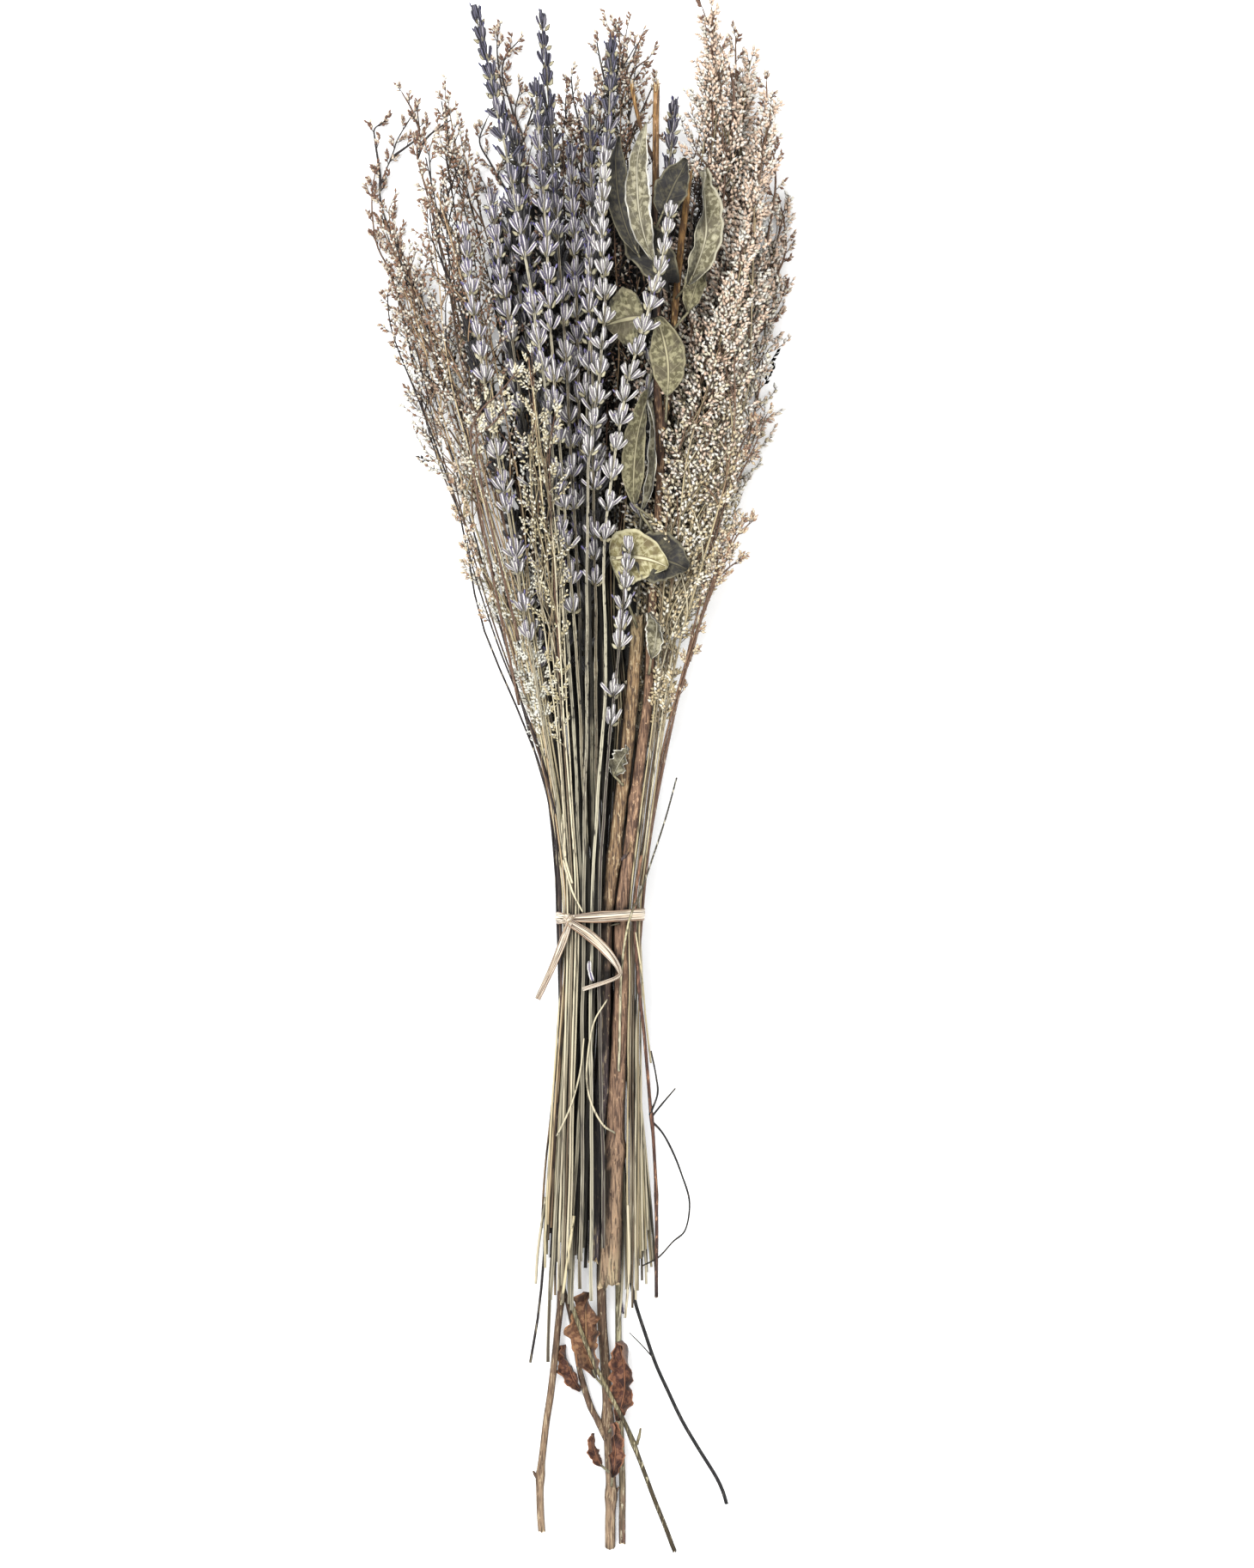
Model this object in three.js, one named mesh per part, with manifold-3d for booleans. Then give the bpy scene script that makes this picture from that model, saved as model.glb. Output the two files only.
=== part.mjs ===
// A bunch of dried flowers that lies on a surface: lavender sprigs, sea lavender sprays,
// leafy woody branches and long thin stems, held by a knotted strip of raffia.
//
// Frame: millimetres, +Y from the cut ends to the flower heads, +X to the right when the bunch
// is seen from above, +Z up from the surface that it lies on.
//
// The bunch is laid out in rows, like layers of stems put down one on the other. A row is thin
// under the tie and thick in the head. Within a row the pieces keep their order from left to
// right, and settle() pushes them apart until each has its own room.

import * as THREE from 'three';
import Module from 'manifold-3d';
import { mergeVertices } from 'three/addons/utils/BufferGeometryUtils.js';

const wasm = await Module();
wasm.setup();

// ---------------------------------------------------------------- driving dimensions, mm

const GAP = 0.35; // clearance between neighbouring pieces
const TIE_Y = -52; // where the raffia holds the stems
const TIE_X = 6.5; // middle of the stems under the raffia
const ROWS = 8;
const ROW_AT_TIE = 2.9; // thickness of one row under the tie
const ROW_IN_HEAD = 9.6; // thickness of one row among the flower heads
const HEAD_Y = 230; // from here up every row has its full thickness
const ROW_OPENING = 0.0008; // rows open again towards the cut ends, by this share per mm
const ARCH = 5; // the stems under the tie stand this far off the surface
const ARCH_UP = 172; // length over which the arch comes down towards the head
const ARCH_DOWN = 248; // and towards the cut ends
const FAN_BEND = 1.25; // 1 fans the stems out straight from the tie, more curves them outwards
const SETTLE_PASSES = 600;
const STEM_SIDES = 6;
const SPRAY_SIDES = 8;

// Cross planes at which the pieces are pushed apart. Every piece is straight between two of them.
const STATIONS = [
  -302, -275, -250, -225, -200, -150, -100, -75, -60, -44, -30, 0, 30, 60, 90, 120, 150, 180,
  210, 240, 270, 302,
];

const LAVENDER = {
  stem: 1.25, // radius of the stem
  whorl: 4.6, // radius of the lowest whorl
  shrink: 0.45, // share of it that the top whorl has lost
  neck: 1.7, // radius between two whorls
  step: 13, // from whorl to whorl
  calyx: 8, // height of the widest place above a whorl's foot
  calyxShare: 0.7, // and its greatest share of the step
  tipHalf: 1.0,
};
const SPRAY = {
  stemWide: 2.1, // half width and half thickness of the stems below the plume
  stemThick: 1.25,
  ramp: 130, // length over which the plume opens
  closing: 45, // and over which it closes again at the tip
  tipShare: 0.35, // to this share of its size
};
const LEAF = {
  thickness: 0.8,
  fold: 0.15, // the halves rise from the midrib by this share of the width
  edge: 0.5, // least half width
  fullness: [0.85, 0.8], // lower values put the widest place nearer the base, and blunt the ends
  stalk: 0.5, // radius
  stalkStart: 0.08, // the stalk starts this share of the blade's length inside it
  seatGap: 0.3, // and ends this far above the bark
  across: 2, // pieces of the grid
  along: 6,
  steps: 5,
};
const SHOOT_STEP = 15; // length of one straight piece of a side shoot
const TOP_SHOOT_RADIUS = 1.4;
const SHORT_SHOOT_RADIUS = 0.9;
const SPUR_RADIUS = 0.7;
const WIRE_RADIUS = 0.4;
const RING_MARGIN = 1; // no two rings of a strand are closer than this
const SAME_POINT = 1e-4; // corners closer than this are one corner
const RAFFIA = {
  width: 4.6,
  thickness: 0.8,
  clear: 0.3, // off the stems
  reach: 3.6, // the stems are measured this far each side of the tie
  facets: 28,
  slant: 0.05,
  knot: [3.2, 2.8, 1.7],
  knotAt: [-4.5, -53],
  knotFacets: [10, 6],
  tailHalf: 1.7,
  tailGrid: { thickness: 0.7, across: 1, along: 8 },
  // points of the two tails as x, y and level
  tails: [
    [[-4.5, -54, 8.45], [3, -59, 8.35], [10, -65.5, 8.35], [14.5, -72, 8.35], [0.5, -80, 8.35]],
    [[-4.5, -54, 8.45], [-7, -61, 8.1], [-11, -71, 7.4], [-17, -84, 6.2]],
  ],
};

// ---------------------------------------------------------------- small helpers

const clamp01 = (value) => Math.min(1, Math.max(0, value));
const smooth = (value) => clamp01(value) ** 2 * (3 - 2 * clamp01(value));

const numbered = (index) => String(index + 1).padStart(2, '0');

/** The next name of a kind: kind_01, kind_02 and so on. */
const counts = new Map();
function nextName(kind) {
  const index = counts.get(kind) ?? 0;
  counts.set(kind, index + 1);
  return `${kind}_${numbered(index)}`;
}

/** Straight-line interpolation in a list of [key, value] pairs with rising keys. */
function interpolate(pairs, key) {
  if (key <= pairs[0][0]) return pairs[0][1];
  for (let i = 1; i < pairs.length; i += 1) {
    const [k0, v0] = pairs[i - 1];
    const [k1, v1] = pairs[i];
    if (key <= k1) return v0 + ((v1 - v0) * (key - k0)) / (k1 - k0);
  }
  return pairs[pairs.length - 1][1];
}

/** Thickness of one row at y. */
function rowThickness(y) {
  if (y < TIE_Y) return ROW_AT_TIE * (1 + ROW_OPENING * (TIE_Y - y));
  return ROW_AT_TIE + (ROW_IN_HEAD - ROW_AT_TIE) * smooth((y - TIE_Y) / (HEAD_Y - TIE_Y));
}

/** Height of the underside of the bunch at y. */
function arch(y) {
  const span = y > TIE_Y ? ARCH_UP : ARCH_DOWN;
  return ARCH * Math.cos((Math.PI / 2) * clamp01(Math.abs(y - TIE_Y) / span)) ** 2;
}

/** A value per station becomes a function of y that is straight between the stations. */
const stationwise = (atStation) => {
  const pairs = STATIONS.map((y) => [y, atStation(y)]);
  return (y) => interpolate(pairs, y);
};
const thicknessAt = stationwise(rowThickness);
const archAt = stationwise(arch);

/** Height of a level: 0 is the underside of the lowest row, ROWS the top of the highest. */
const heightAt = (level, y) => archAt(y) + level * thicknessAt(y);

// ---------------------------------------------------------------- solids and meshes

function toSolid(geometry) {
  geometry.deleteAttribute('normal');
  geometry.deleteAttribute('uv');
  const merged = mergeVertices(geometry, SAME_POINT);
  const corners = merged.getIndex().array;
  const triVerts = [];
  for (let i = 0; i < corners.length; i += 3) {
    const [a, b, c] = corners.slice(i, i + 3);
    if (a !== b && b !== c && c !== a) triVerts.push(a, b, c);
  }
  const vertProperties = merged.getAttribute('position').array;
  return new wasm.Manifold(
    new wasm.Mesh({ numProp: 3, vertProperties, triVerts: Uint32Array.from(triVerts) }),
  );
}

function toMesh(name, solids, material) {
  const joined = solids.reduce((whole, solid) => whole.add(solid));
  const { vertProperties, triVerts } = joined.getMesh();
  const geometry = new THREE.BufferGeometry();
  geometry.setAttribute('position', new THREE.BufferAttribute(vertProperties, 3));
  geometry.setIndex(new THREE.BufferAttribute(triVerts, 1));
  geometry.computeVertexNormals();
  const mesh = new THREE.Mesh(geometry, material);
  mesh.name = name;
  return mesh;
}

const finish = (color, roughness) =>
  new THREE.MeshStandardMaterial({ color, roughness, metalness: 0 });

const FINISHES = {
  lavender: finish(0x7a759e, 0.85),
  paleLavender: finish(0xa9a6bb, 0.85),
  spray: finish(0xb59a86, 0.9),
  paleSpray: finish(0xcfc6a6, 0.9),
  bark: finish(0x8c6a4a, 0.8),
  thinStem: finish(0x8a8260, 0.75),
  darkStem: finish(0x2c2f28, 0.7),
  leaf: finish(0x8f9174, 0.8),
  darkLeaf: finish(0x55574a, 0.8),
  dryLeaf: finish(0x7c4a33, 0.85),
  raffia: finish(0xe3cfa8, 0.7),
};

// ---------------------------------------------------------------- kinds of strand

// A strand is any piece that runs along the bunch. tip and cut are its ends as [x, y]; above and
// below are points that it passes between the tip and the tie, or the tie and the cut end.

/** A lavender sprig: a thin stem with a spike of whorls from spikeFrom to the tip. */
function lavender(tip, cut, spikeFrom, options = {}) {
  return {
    name: nextName('lavender_sprig'),
    tip,
    cut,
    material: FINISHES.lavender,
    sides: STEM_SIDES,
    roomWide: (y) => (y > spikeFrom ? LAVENDER.whorl : LAVENDER.stem),
    roomThick: (y) => (y > spikeFrom ? LAVENDER.whorl : LAVENDER.stem),
    rings: () => lavenderRings(tip[1], spikeFrom),
    ...options,
  };
}

/** Rings of a spike: each whorl opens from its neck to its widest near the top, then closes. */
function lavenderRings(tipY, spikeFrom) {
  const rings = [];
  const whorls = Math.round((tipY - spikeFrom) / LAVENDER.step);
  const step = (tipY - spikeFrom) / whorls;
  for (let i = 0; i < whorls; i += 1) {
    const foot = spikeFrom + i * step;
    const widest = LAVENDER.whorl * (1 - LAVENDER.shrink * (i / whorls) ** 2);
    rings.push([foot, LAVENDER.neck]);
    rings.push([foot + Math.min(LAVENDER.calyx, LAVENDER.calyxShare * step), widest]);
  }
  rings.push([tipY, LAVENDER.tipHalf]);
  return rings;
}

/** A sea lavender spray: a few stems side by side that open into a flat plume. */
function seaLavender(tip, cut, plumeFrom, plumeHalf, options = {}) {
  const share = (y) => {
    const opening = smooth((y - plumeFrom) / SPRAY.ramp);
    const ending = smooth((y - tip[1] + SPRAY.closing) / SPRAY.closing);
    const closing = 1 - (1 - SPRAY.tipShare) * ending;
    return opening * closing;
  };
  return {
    name: nextName('sea_lavender'),
    tip,
    cut,
    material: FINISHES.spray,
    sides: SPRAY_SIDES,
    roomWide: (y) => SPRAY.stemWide + (plumeHalf - SPRAY.stemWide) * share(y),
    roomThick: (y) => SPRAY.stemThick + (ROW_IN_HEAD / 2 - SPRAY.stemThick) * share(y),
    rings: () => [],
    ...options,
  };
}

/** A bare stem or branch that tapers from its cut end to its tip. */
function stem(name, tip, cut, cutRadius, tipRadius, options = {}) {
  const radius = (y) =>
    cutRadius + (tipRadius - cutRadius) * clamp01((y - cut[1]) / (tip[1] - cut[1]));
  return {
    name,
    tip,
    cut,
    material: FINISHES.thinStem,
    sides: STEM_SIDES,
    roomWide: radius,
    roomThick: radius,
    rings: () => [],
    ...options,
  };
}

/** Room in a row that is kept free for leaves or side twigs; nothing is built from it. */
function room(path, half) {
  const top = path[path.length - 1];
  return { fixed: true, tip: [top[1], top[0]], cut: [path[0][1], path[0][0]], path, half };
}

// ---------------------------------------------------------------- the rows, from left to right

const branchMain = stem('branch_main', [29, 268], [4, -196], 3.2, 1.3, {
  material: FINISHES.bark,
  above: [[28, 202], [31, 141], [30, 106], [27, 60], [27, 27]],
  below: [[18, -75], [13, -112], [8, -162]],
});
const branchSplit = stem('branch_split', [22, 64], [-2, -186], 2.8, 2.6, {
  material: FINISHES.bark,
  above: [[19, 27], [15, -25]],
  below: [[9, -80], [6, -112], [2, -150]],
});
const branchLower = stem('branch_lower', [14, 20], [11, -300], 2.4, 1.7, {
  material: FINISHES.bark,
  below: [[8, -200], [9, -228], [12, -278]],
});
const twigRight = stem('twig_right', [23, -28], [29, -200], 1.6, 1.2, {
  material: FINISHES.bark,
  tieX: 20,
  below: [[27, -129], [30, -160], [31, -186]],
});
const twigLeft = stem('twig_left', [-14, 35], [-15, -293], 1.6, 1.2, {
  material: FINISHES.bark,
  below: [[-8, -207], [-17, -271]],
});
const stemDiagonal = stem('stem_diagonal', [-6, 30], [37, -300], 1.4, 1.0, {
  below: [[-8, -200], [4, -225], [17, -250], [27, -275]],
});
const twigRoom = room([[150, 34], [180, 36], [240, 41.5]], [2.5, 2.5, 3]);
const leafRoom = room(
  [[-25, 13], [0, 15], [30, 21], [60, 26], [90, 27], [120, 28], [150, 28], [180, 30], [250, 31]],
  [3, 6, 8, 11, 15, 13, 14, 22, 20],
);

const ROW_LIST = [
  {
    tieX: TIE_X,
    pieces: [
      seaLavender([-78, 224], [-15, -176], 20, 11),
      seaLavender([-22, 246], [-2, -181], 25, 12),
      branchLower,
      stem('stem_straight', [22, 40], [16, -298], 1.5, 1.1, { below: [[14, -195]] }),
      seaLavender([79, 222], [26, -178], 20, 12),
    ],
  },
  {
    tieX: TIE_X,
    pieces: [
      seaLavender([-55, 268], [-12, -189], 30, 11),
      twigLeft,
      lavender([-30, 226], [-5, -191], 140),
      branchLower,
      seaLavender([15, 294], [12, -184], 60, 11),
      seaLavender([66, 284], [24, -186], 25, 12),
    ],
  },
  {
    tieX: TIE_X,
    pieces: [
      lavender([-47, 192], [-13, -223], 110, { below: [[-13, -195]] }),
      lavender([-26, 252], [-8, -196], 165),
      seaLavender([-8, 262], [0, -179], 60, 10),
      stem('stem_wiry', [16, 25], [60, -282], 0.9, 0.7, {
        material: FINISHES.darkStem,
        below: [[20, -205], [27, -223], [37, -246], [48, -264]],
      }),
      seaLavender([74, 262], [28, -190], 25, 11),
    ],
  },
  {
    tieX: TIE_X,
    pieces: [
      seaLavender([-72, 212], [-11, -172], 25, 10),
      lavender([-34, 206], [-6, -188], 115),
      stemDiagonal,
      lavender([-10, 228], [1, -194], 130),
      lavender([3, 264], [8, -183], 170),
      lavender([41, 262], [18, -192], 190, { above: [[43, 242], [36, 190]] }),
      seaLavender([50, 298], [25, -180], 35, 12),
    ],
  },
  {
    tieX: TIE_X,
    pieces: [
      lavender([-44, 176], [-10, -193], 90),
      lavender([-20, 196], [-3, -198], 105),
      lavender([-4, 244], [3, -187], 150),
      branchSplit,
      branchMain,
      twigRoom,
      seaLavender([70, 240], [22, -188], 20, 12),
    ],
  },
  {
    tieX: TIE_X,
    pieces: [
      seaLavender([-60, 242], [-13, -183], 30, 10),
      lavender([-35, 226], [-7, -190], 160),
      lavender([-15, 294], [-1, -195], 195, { bend: 1.6 }),
      lavender([12, 284], [5, -186], 225, { above: [[11, 250], [2, 160]] }),
      branchSplit,
      branchMain,
      twigRoom,
      seaLavender([63, 206], [20, -196], 15, 12),
    ],
  },
  {
    tieX: 2,
    pieces: [
      lavender([-45, 213], [-12, -201], 146, { above: [[-40, 174]] }),
      lavender([-40, 295], [-9, -184], 188, { bend: 2.0 }),
      lavender([-17, 267], [-5, -200], 158, { bend: 0.9 }),
      lavender([4, 206], [-1, -189], 152),
      leafRoom,
      twigRight,
    ],
  },
  {
    tieX: 2,
    pieces: [
      seaLavender([-20, 164], [-7, -197], 10, 7, { material: FINISHES.paleSpray }),
      lavender([9, 240], [0, -194], 116, {
        material: FINISHES.paleLavender,
        above: [[8, 205], [10, 187], [6, 140], [3, 93]],
      }),
      lavender([36, 220], [4, -199], 84, {
        material: FINISHES.paleLavender,
        above: [[26, 179], [17, 150], [10, 97], [12, 60]],
      }),
      lavender([16, 94], [9, -191], 40, { material: FINISHES.paleLavender }),
    ],
  },
];

// ---------------------------------------------------------------- settling the rows

/** Every strand learns the rows that it lies in. */
function collectStrands() {
  const strands = [];
  ROW_LIST.forEach(({ tieX, pieces }, row) => {
    for (const piece of pieces) {
      if (!strands.includes(piece)) {
        strands.push(piece);
        Object.assign(piece, { row, span: 0, tieX: piece.tieX ?? tieX, settled: new Map() });
      }
      piece.span += 1;
    }
  });
  return strands;
}

/** A strand counts at the stations along it and at the one just past each end. */
function isLive(piece, index) {
  const below = STATIONS[Math.max(0, index - 1)];
  const above = STATIONS[Math.min(STATIONS.length - 1, index + 1)];
  return above > piece.cut[1] && below < piece.tip[1];
}

/** Where a strand would lie at y if nothing pushed it. */
function wantedX(piece, y, tieX) {
  if (piece.fixed) return interpolate(piece.path, y);
  const turned = (points) => points.map(([x, pointY]) => [pointY, x]);
  if (y >= TIE_Y) {
    if (piece.above) {
      const above = turned([piece.tip, ...piece.above]).reverse();
      return interpolate([[TIE_Y, tieX], ...above], y);
    }
    const share = (y - TIE_Y) / (piece.tip[1] - TIE_Y);
    return tieX + (piece.tip[0] - tieX) * share ** (piece.bend ?? FAN_BEND);
  }
  const below = turned([...(piece.below ?? []), piece.cut]).reverse();
  return interpolate([...below, [TIE_Y, tieX]], y);
}

function halfRoomAt(piece, y) {
  if (!piece.fixed) return piece.roomWide(y);
  return interpolate(piece.path.map(([pathY], i) => [pathY, piece.half[i]]), y);
}

/** Pushes the live strands of every row apart at one cross plane, and keeps their order. */
function settle(strands, index, start) {
  const y = STATIONS[index];
  const live = new Map();
  for (const piece of strands) {
    if (isLive(piece, index)) live.set(piece, start(piece, y));
  }
  for (let pass = 0; pass < SETTLE_PASSES; pass += 1) {
    for (const { pieces } of ROW_LIST) {
      const row = pieces.filter((piece) => live.has(piece));
      for (let i = 1; i < row.length; i += 1) pushApart(row[i - 1], row[i], live, y);
    }
  }
  for (const [piece, x] of live) piece.settled.set(y, x);
}

function pushApart(left, right, live, y) {
  const needed = halfRoomAt(left, y) + halfRoomAt(right, y) + GAP;
  const lack = needed - (live.get(right) - live.get(left));
  if (lack <= 0 || (left.fixed && right.fixed)) return;
  const leftShare = left.fixed ? 0 : right.fixed ? 1 : 0.5;
  live.set(left, live.get(left) - lack * leftShare);
  live.set(right, live.get(right) + lack * (1 - leftShare));
}

/** Settles the tie first, packed round its middle, then the rest from what it gives. */
function settleBunch(strands) {
  const tieIndex = STATIONS.findIndex((y) => y > TIE_Y);
  const packed = (piece, y) => (piece.fixed ? wantedX(piece, y) : piece.tieX);
  settle(strands, tieIndex, packed);
  for (const piece of strands) piece.tieX = piece.settled.get(STATIONS[tieIndex]) ?? piece.tieX;
  const wanted = (piece, y) => wantedX(piece, y, piece.tieX);
  for (let index = 0; index < STATIONS.length; index += 1) settle(strands, index, wanted);
}

/** Adds the functions that give a settled strand's middle and half sizes at y. */
function shapeStrand(piece) {
  const stations = [...piece.settled.keys()].sort((a, b) => a - b);
  const along = (value) => {
    const pairs = stations.map((y) => [y, value(y)]);
    return (y) => interpolate(pairs, y);
  };
  piece.x = along((y) => piece.settled.get(y));
  piece.wide = along((y) => piece.roomWide(y));
  piece.thick = along((y) => {
    const most = (piece.span * rowThickness(y) - GAP) / 2;
    return Math.min(piece.roomThick(y), most);
  });
  piece.z = along((y) => {
    const most = (piece.span * rowThickness(y) - GAP) / 2;
    const rested = arch(y) + Math.min(piece.roomThick(y), most);
    return piece.row === 0 ? rested : arch(y) + (piece.row + piece.span / 2) * rowThickness(y);
  });
}

// ---------------------------------------------------------------- strand geometry

/** A lathed body whose rings lie in cross planes and follow the strand's middle. */
function strandSolid(piece) {
  const [low, high] = [piece.cut[1], piece.tip[1]];
  const whorls = piece.rings();
  const top = whorls.length > 0 ? whorls[0][0] : high;
  const stations = STATIONS.filter((y) => y > low + RING_MARGIN && y < top - RING_MARGIN);
  const plain = [low, ...stations].map((y) => [y, Infinity]);
  if (whorls.length === 0) plain.push([high, Infinity]);
  const profile = [
    new THREE.Vector2(0, low),
    ...[...plain, ...whorls].map(([y, limit]) => new THREE.Vector2(Math.min(limit, piece.wide(y)), y)),
    new THREE.Vector2(0, high),
  ];
  const geometry = new THREE.LatheGeometry(profile, piece.sides);
  const position = geometry.getAttribute('position');
  for (let i = 0; i < position.count; i += 1) {
    const y = position.getY(i);
    const flatness = Math.min(1, piece.thick(y) / piece.wide(y));
    position.setX(i, piece.x(y) + position.getX(i));
    position.setZ(i, piece.z(y) + position.getZ(i) * flatness);
  }
  return toSolid(geometry);
}

// ---------------------------------------------------------------- strips, leaves and stalks

/** A flat strip along a curve. half(u) is its half width, lift(u, v) raises it across. */
function ribbon(spine, half, lift, { thickness, across, along }) {
  const geometry = new THREE.BoxGeometry(1, 1, 1, across, along, 1);
  const position = geometry.getAttribute('position');
  for (let i = 0; i < position.count; i += 1) {
    const u = position.getY(i) + 0.5; // 0 at the base, 1 at the tip
    const v = 2 * position.getX(i); // -1 at the left edge, 1 at the right
    const middle = spine.getPoint(u);
    const ahead = spine.getTangent(u);
    const side = new THREE.Vector2(ahead.y, -ahead.x).normalize().multiplyScalar(half(u) * v);
    const z = middle.z + lift(u, v) + position.getZ(i) * thickness;
    position.setXYZ(i, middle.x + side.x, middle.y + side.y, z);
  }
  return toSolid(geometry);
}

/** A round rod through points given as [x, y, z]. */
function rod(points, radius, steps) {
  const corners = Array.from({ length: STEM_SIDES }, (_, i) => {
    const angle = (2 * Math.PI * i) / STEM_SIDES;
    return new THREE.Vector2(radius * Math.cos(angle), radius * Math.sin(angle));
  });
  const path = new THREE.CatmullRomCurve3(points.map((point) => new THREE.Vector3(...point)));
  const options = { steps, extrudePath: path, bevelEnabled: false };
  return toSolid(new THREE.ExtrudeGeometry(new THREE.Shape(corners), options));
}

/** A point on a strand's middle. */
const middleOf = (strand, y) => [strand.x(y), y, strand.z(y)];

/** A leaf blade from base to tip, bowed through bow, and its stalk down to a seat on a branch. */
function leaf(name, { base, bow, tip, half, level, seat }, material) {
  const at = ([x, y]) => new THREE.Vector3(x, y, heightAt(level, y));
  const spine = new THREE.QuadraticBezierCurve3(at(base), at(bow), at(tip));
  const [towardsBase, blunt] = LEAF.fullness;
  const outline = (u) =>
    LEAF.edge + (half - LEAF.edge) * Math.sin(Math.PI * u ** towardsBase) ** blunt;
  const blade = ribbon(spine, outline, (u, v) => LEAF.fold * Math.abs(v) * outline(u), LEAF);
  return toMesh(name, [blade, stalk(spine, seat)], material);
}

/** The stalk starts inside the blade, bends over the branch and ends just above its bark. */
function stalk(spine, { on, y }) {
  const start = spine.getPoint(LEAF.stalkStart).toArray();
  const end = [on.x(y), y, on.z(y) + on.thick(y) + LEAF.seatGap];
  const over = [end[0], end[1], (start[2] + 2 * end[2]) / 3];
  return rod([start, spine.getPoint(0).toArray(), over, end], LEAF.stalk, LEAF.steps);
}

// ---------------------------------------------------------------- raffia tie

/** The outline that a band pulled round the stems takes, standing off them by clear. */
function tieOutline(strands, clear) {
  const count = RAFFIA.facets;
  const support = (angle) => {
    const [c, s] = [Math.cos(angle), Math.sin(angle)];
    const reach = strands.flatMap((piece) =>
      [-RAFFIA.reach, 0, RAFFIA.reach].map((offset) => {
        const y = TIE_Y + offset;
        return piece.x(y) * c + piece.z(y) * s + Math.hypot(piece.wide(y) * c, piece.thick(y) * s);
      }),
    );
    return Math.max(...reach) + clear;
  };
  const step = (2 * Math.PI) / count;
  return Array.from({ length: count }, (_, i) => {
    const [a, b] = [i * step, (i + 1) * step];
    const [ha, hb] = [support(a), support(b)];
    const x = (ha * Math.sin(b) - hb * Math.sin(a)) / Math.sin(step);
    const z = (hb * Math.cos(a) - ha * Math.cos(b)) / Math.sin(step);
    return new THREE.Vector2(x, z);
  });
}

/** The band, slanted a little: it lies further towards the heads on the right. */
function tieBand(strands) {
  const shape = new THREE.Shape(tieOutline(strands, RAFFIA.clear + RAFFIA.thickness));
  shape.holes.push(new THREE.Path(tieOutline(strands, RAFFIA.clear)));
  const options = { depth: RAFFIA.width, bevelEnabled: false };
  const geometry = new THREE.ExtrudeGeometry(shape, options);
  const position = geometry.getAttribute('position');
  for (let i = 0; i < position.count; i += 1) {
    const [x, z, depth] = [position.getX(i), position.getY(i), position.getZ(i)];
    const y = TIE_Y + RAFFIA.width / 2 - depth + RAFFIA.slant * (x - TIE_X);
    position.setXYZ(i, x, y, z);
  }
  return toSolid(geometry);
}

/** The knot and the two tails, which lie on top of the stems below the band. */
function tieKnot(strands) {
  const outline = tieOutline(strands, RAFFIA.clear + RAFFIA.thickness);
  const upper = outline.filter((point) => point.y > heightAt(ROWS / 2, TIE_Y));
  const rising = upper.map((point) => [point.x, point.y]).sort((a, b) => a[0] - b[0]);
  const topZ = interpolate(rising, RAFFIA.knotAt[0]);
  const [knotX, knotY] = RAFFIA.knotAt;
  const knot = new THREE.SphereGeometry(1, ...RAFFIA.knotFacets);
  knot.scale(...RAFFIA.knot);
  knot.translate(knotX, knotY, topZ + RAFFIA.knot[2] / 2);
  const tails = RAFFIA.tails.map((points) => {
    const curve = new THREE.CatmullRomCurve3(
      points.map(([x, y, level]) => new THREE.Vector3(x, y, heightAt(level, y))),
    );
    return ribbon(curve, () => RAFFIA.tailHalf, () => 0, RAFFIA.tailGrid);
  });
  return [toSolid(knot), ...tails];
}

// ---------------------------------------------------------------- side shoots

/** A side shoot along route, as rising [y, x] pairs, at its parent's height. */
function shoot(parent, route, radius) {
  const [first, last] = [route[0][0], route[route.length - 1][0]];
  const x = (y) => interpolate(route, y);
  const steps = Math.ceil((last - first) / SHOOT_STEP);
  const points = Array.from({ length: steps + 1 }, (_, i) => {
    const y = first + ((last - first) * i) / steps;
    return [x(y), y, parent.z(y)];
  });
  return { x, z: parent.z, thick: () => radius, solid: rod(points, radius, steps) };
}

/** A short shoot from strand at y through points given as [x, y, height over the strand]. */
function shortShoot(strand, y, points, radius) {
  const route = points.map(([px, py, over]) => [px, py, strand.z(py) + over]);
  return rod([middleOf(strand, y), ...route], radius, 2 * points.length);
}

/** A short bud or spur that stands off a strand at y by [dx, dy, dz]. */
function spur(strand, y, [dx, dy, dz]) {
  const [x, , z] = middleOf(strand, y);
  return rod([[x, y, z], [x + dx, y + dy, z + dz]], SPUR_RADIUS, 1);
}

/** A wiry side shoot from strand at y through points given as [x, y, height over its foot]. */
function wire(strand, y, points) {
  const foot = middleOf(strand, y);
  const route = points.map(([px, py, over]) => [px, py, foot[2] + over]);
  return rod([foot, ...route], WIRE_RADIUS, 2 * points.length);
}

// ---------------------------------------------------------------- build

const strands = collectStrands();
settleBunch(strands);
const built = strands.filter((piece) => !piece.fixed);
built.forEach(shapeStrand);

const forkAt = 122; // where the top shoot leaves the main branch
const topRoute = [[forkAt, branchMain.x(forkAt)], [150, 34], [180, 36], [236, 41.5]];
const topShoot = shoot(branchMain, topRoute, TOP_SHOOT_RADIUS);
const crownShoot = shortShoot(branchMain, 236, [[23, 250, 0], [19.5, 268, 0]], SHORT_SHOOT_RADIUS);
const forkShoot = shortShoot(branchLower, -249, [[2, -236, 0.5], [-6, -222, 1]], SHORT_SHOOT_RADIUS);
const upperWire = wire(twigRight, -130, [[31, -125, 0], [36.6, -118.6, 1]]);
const droopingWire = wire(twigRight, -130, [
  [37, -145, -3], [42, -162, -6], [38, -178, -9], [32, -190, -11],
]);

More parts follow.
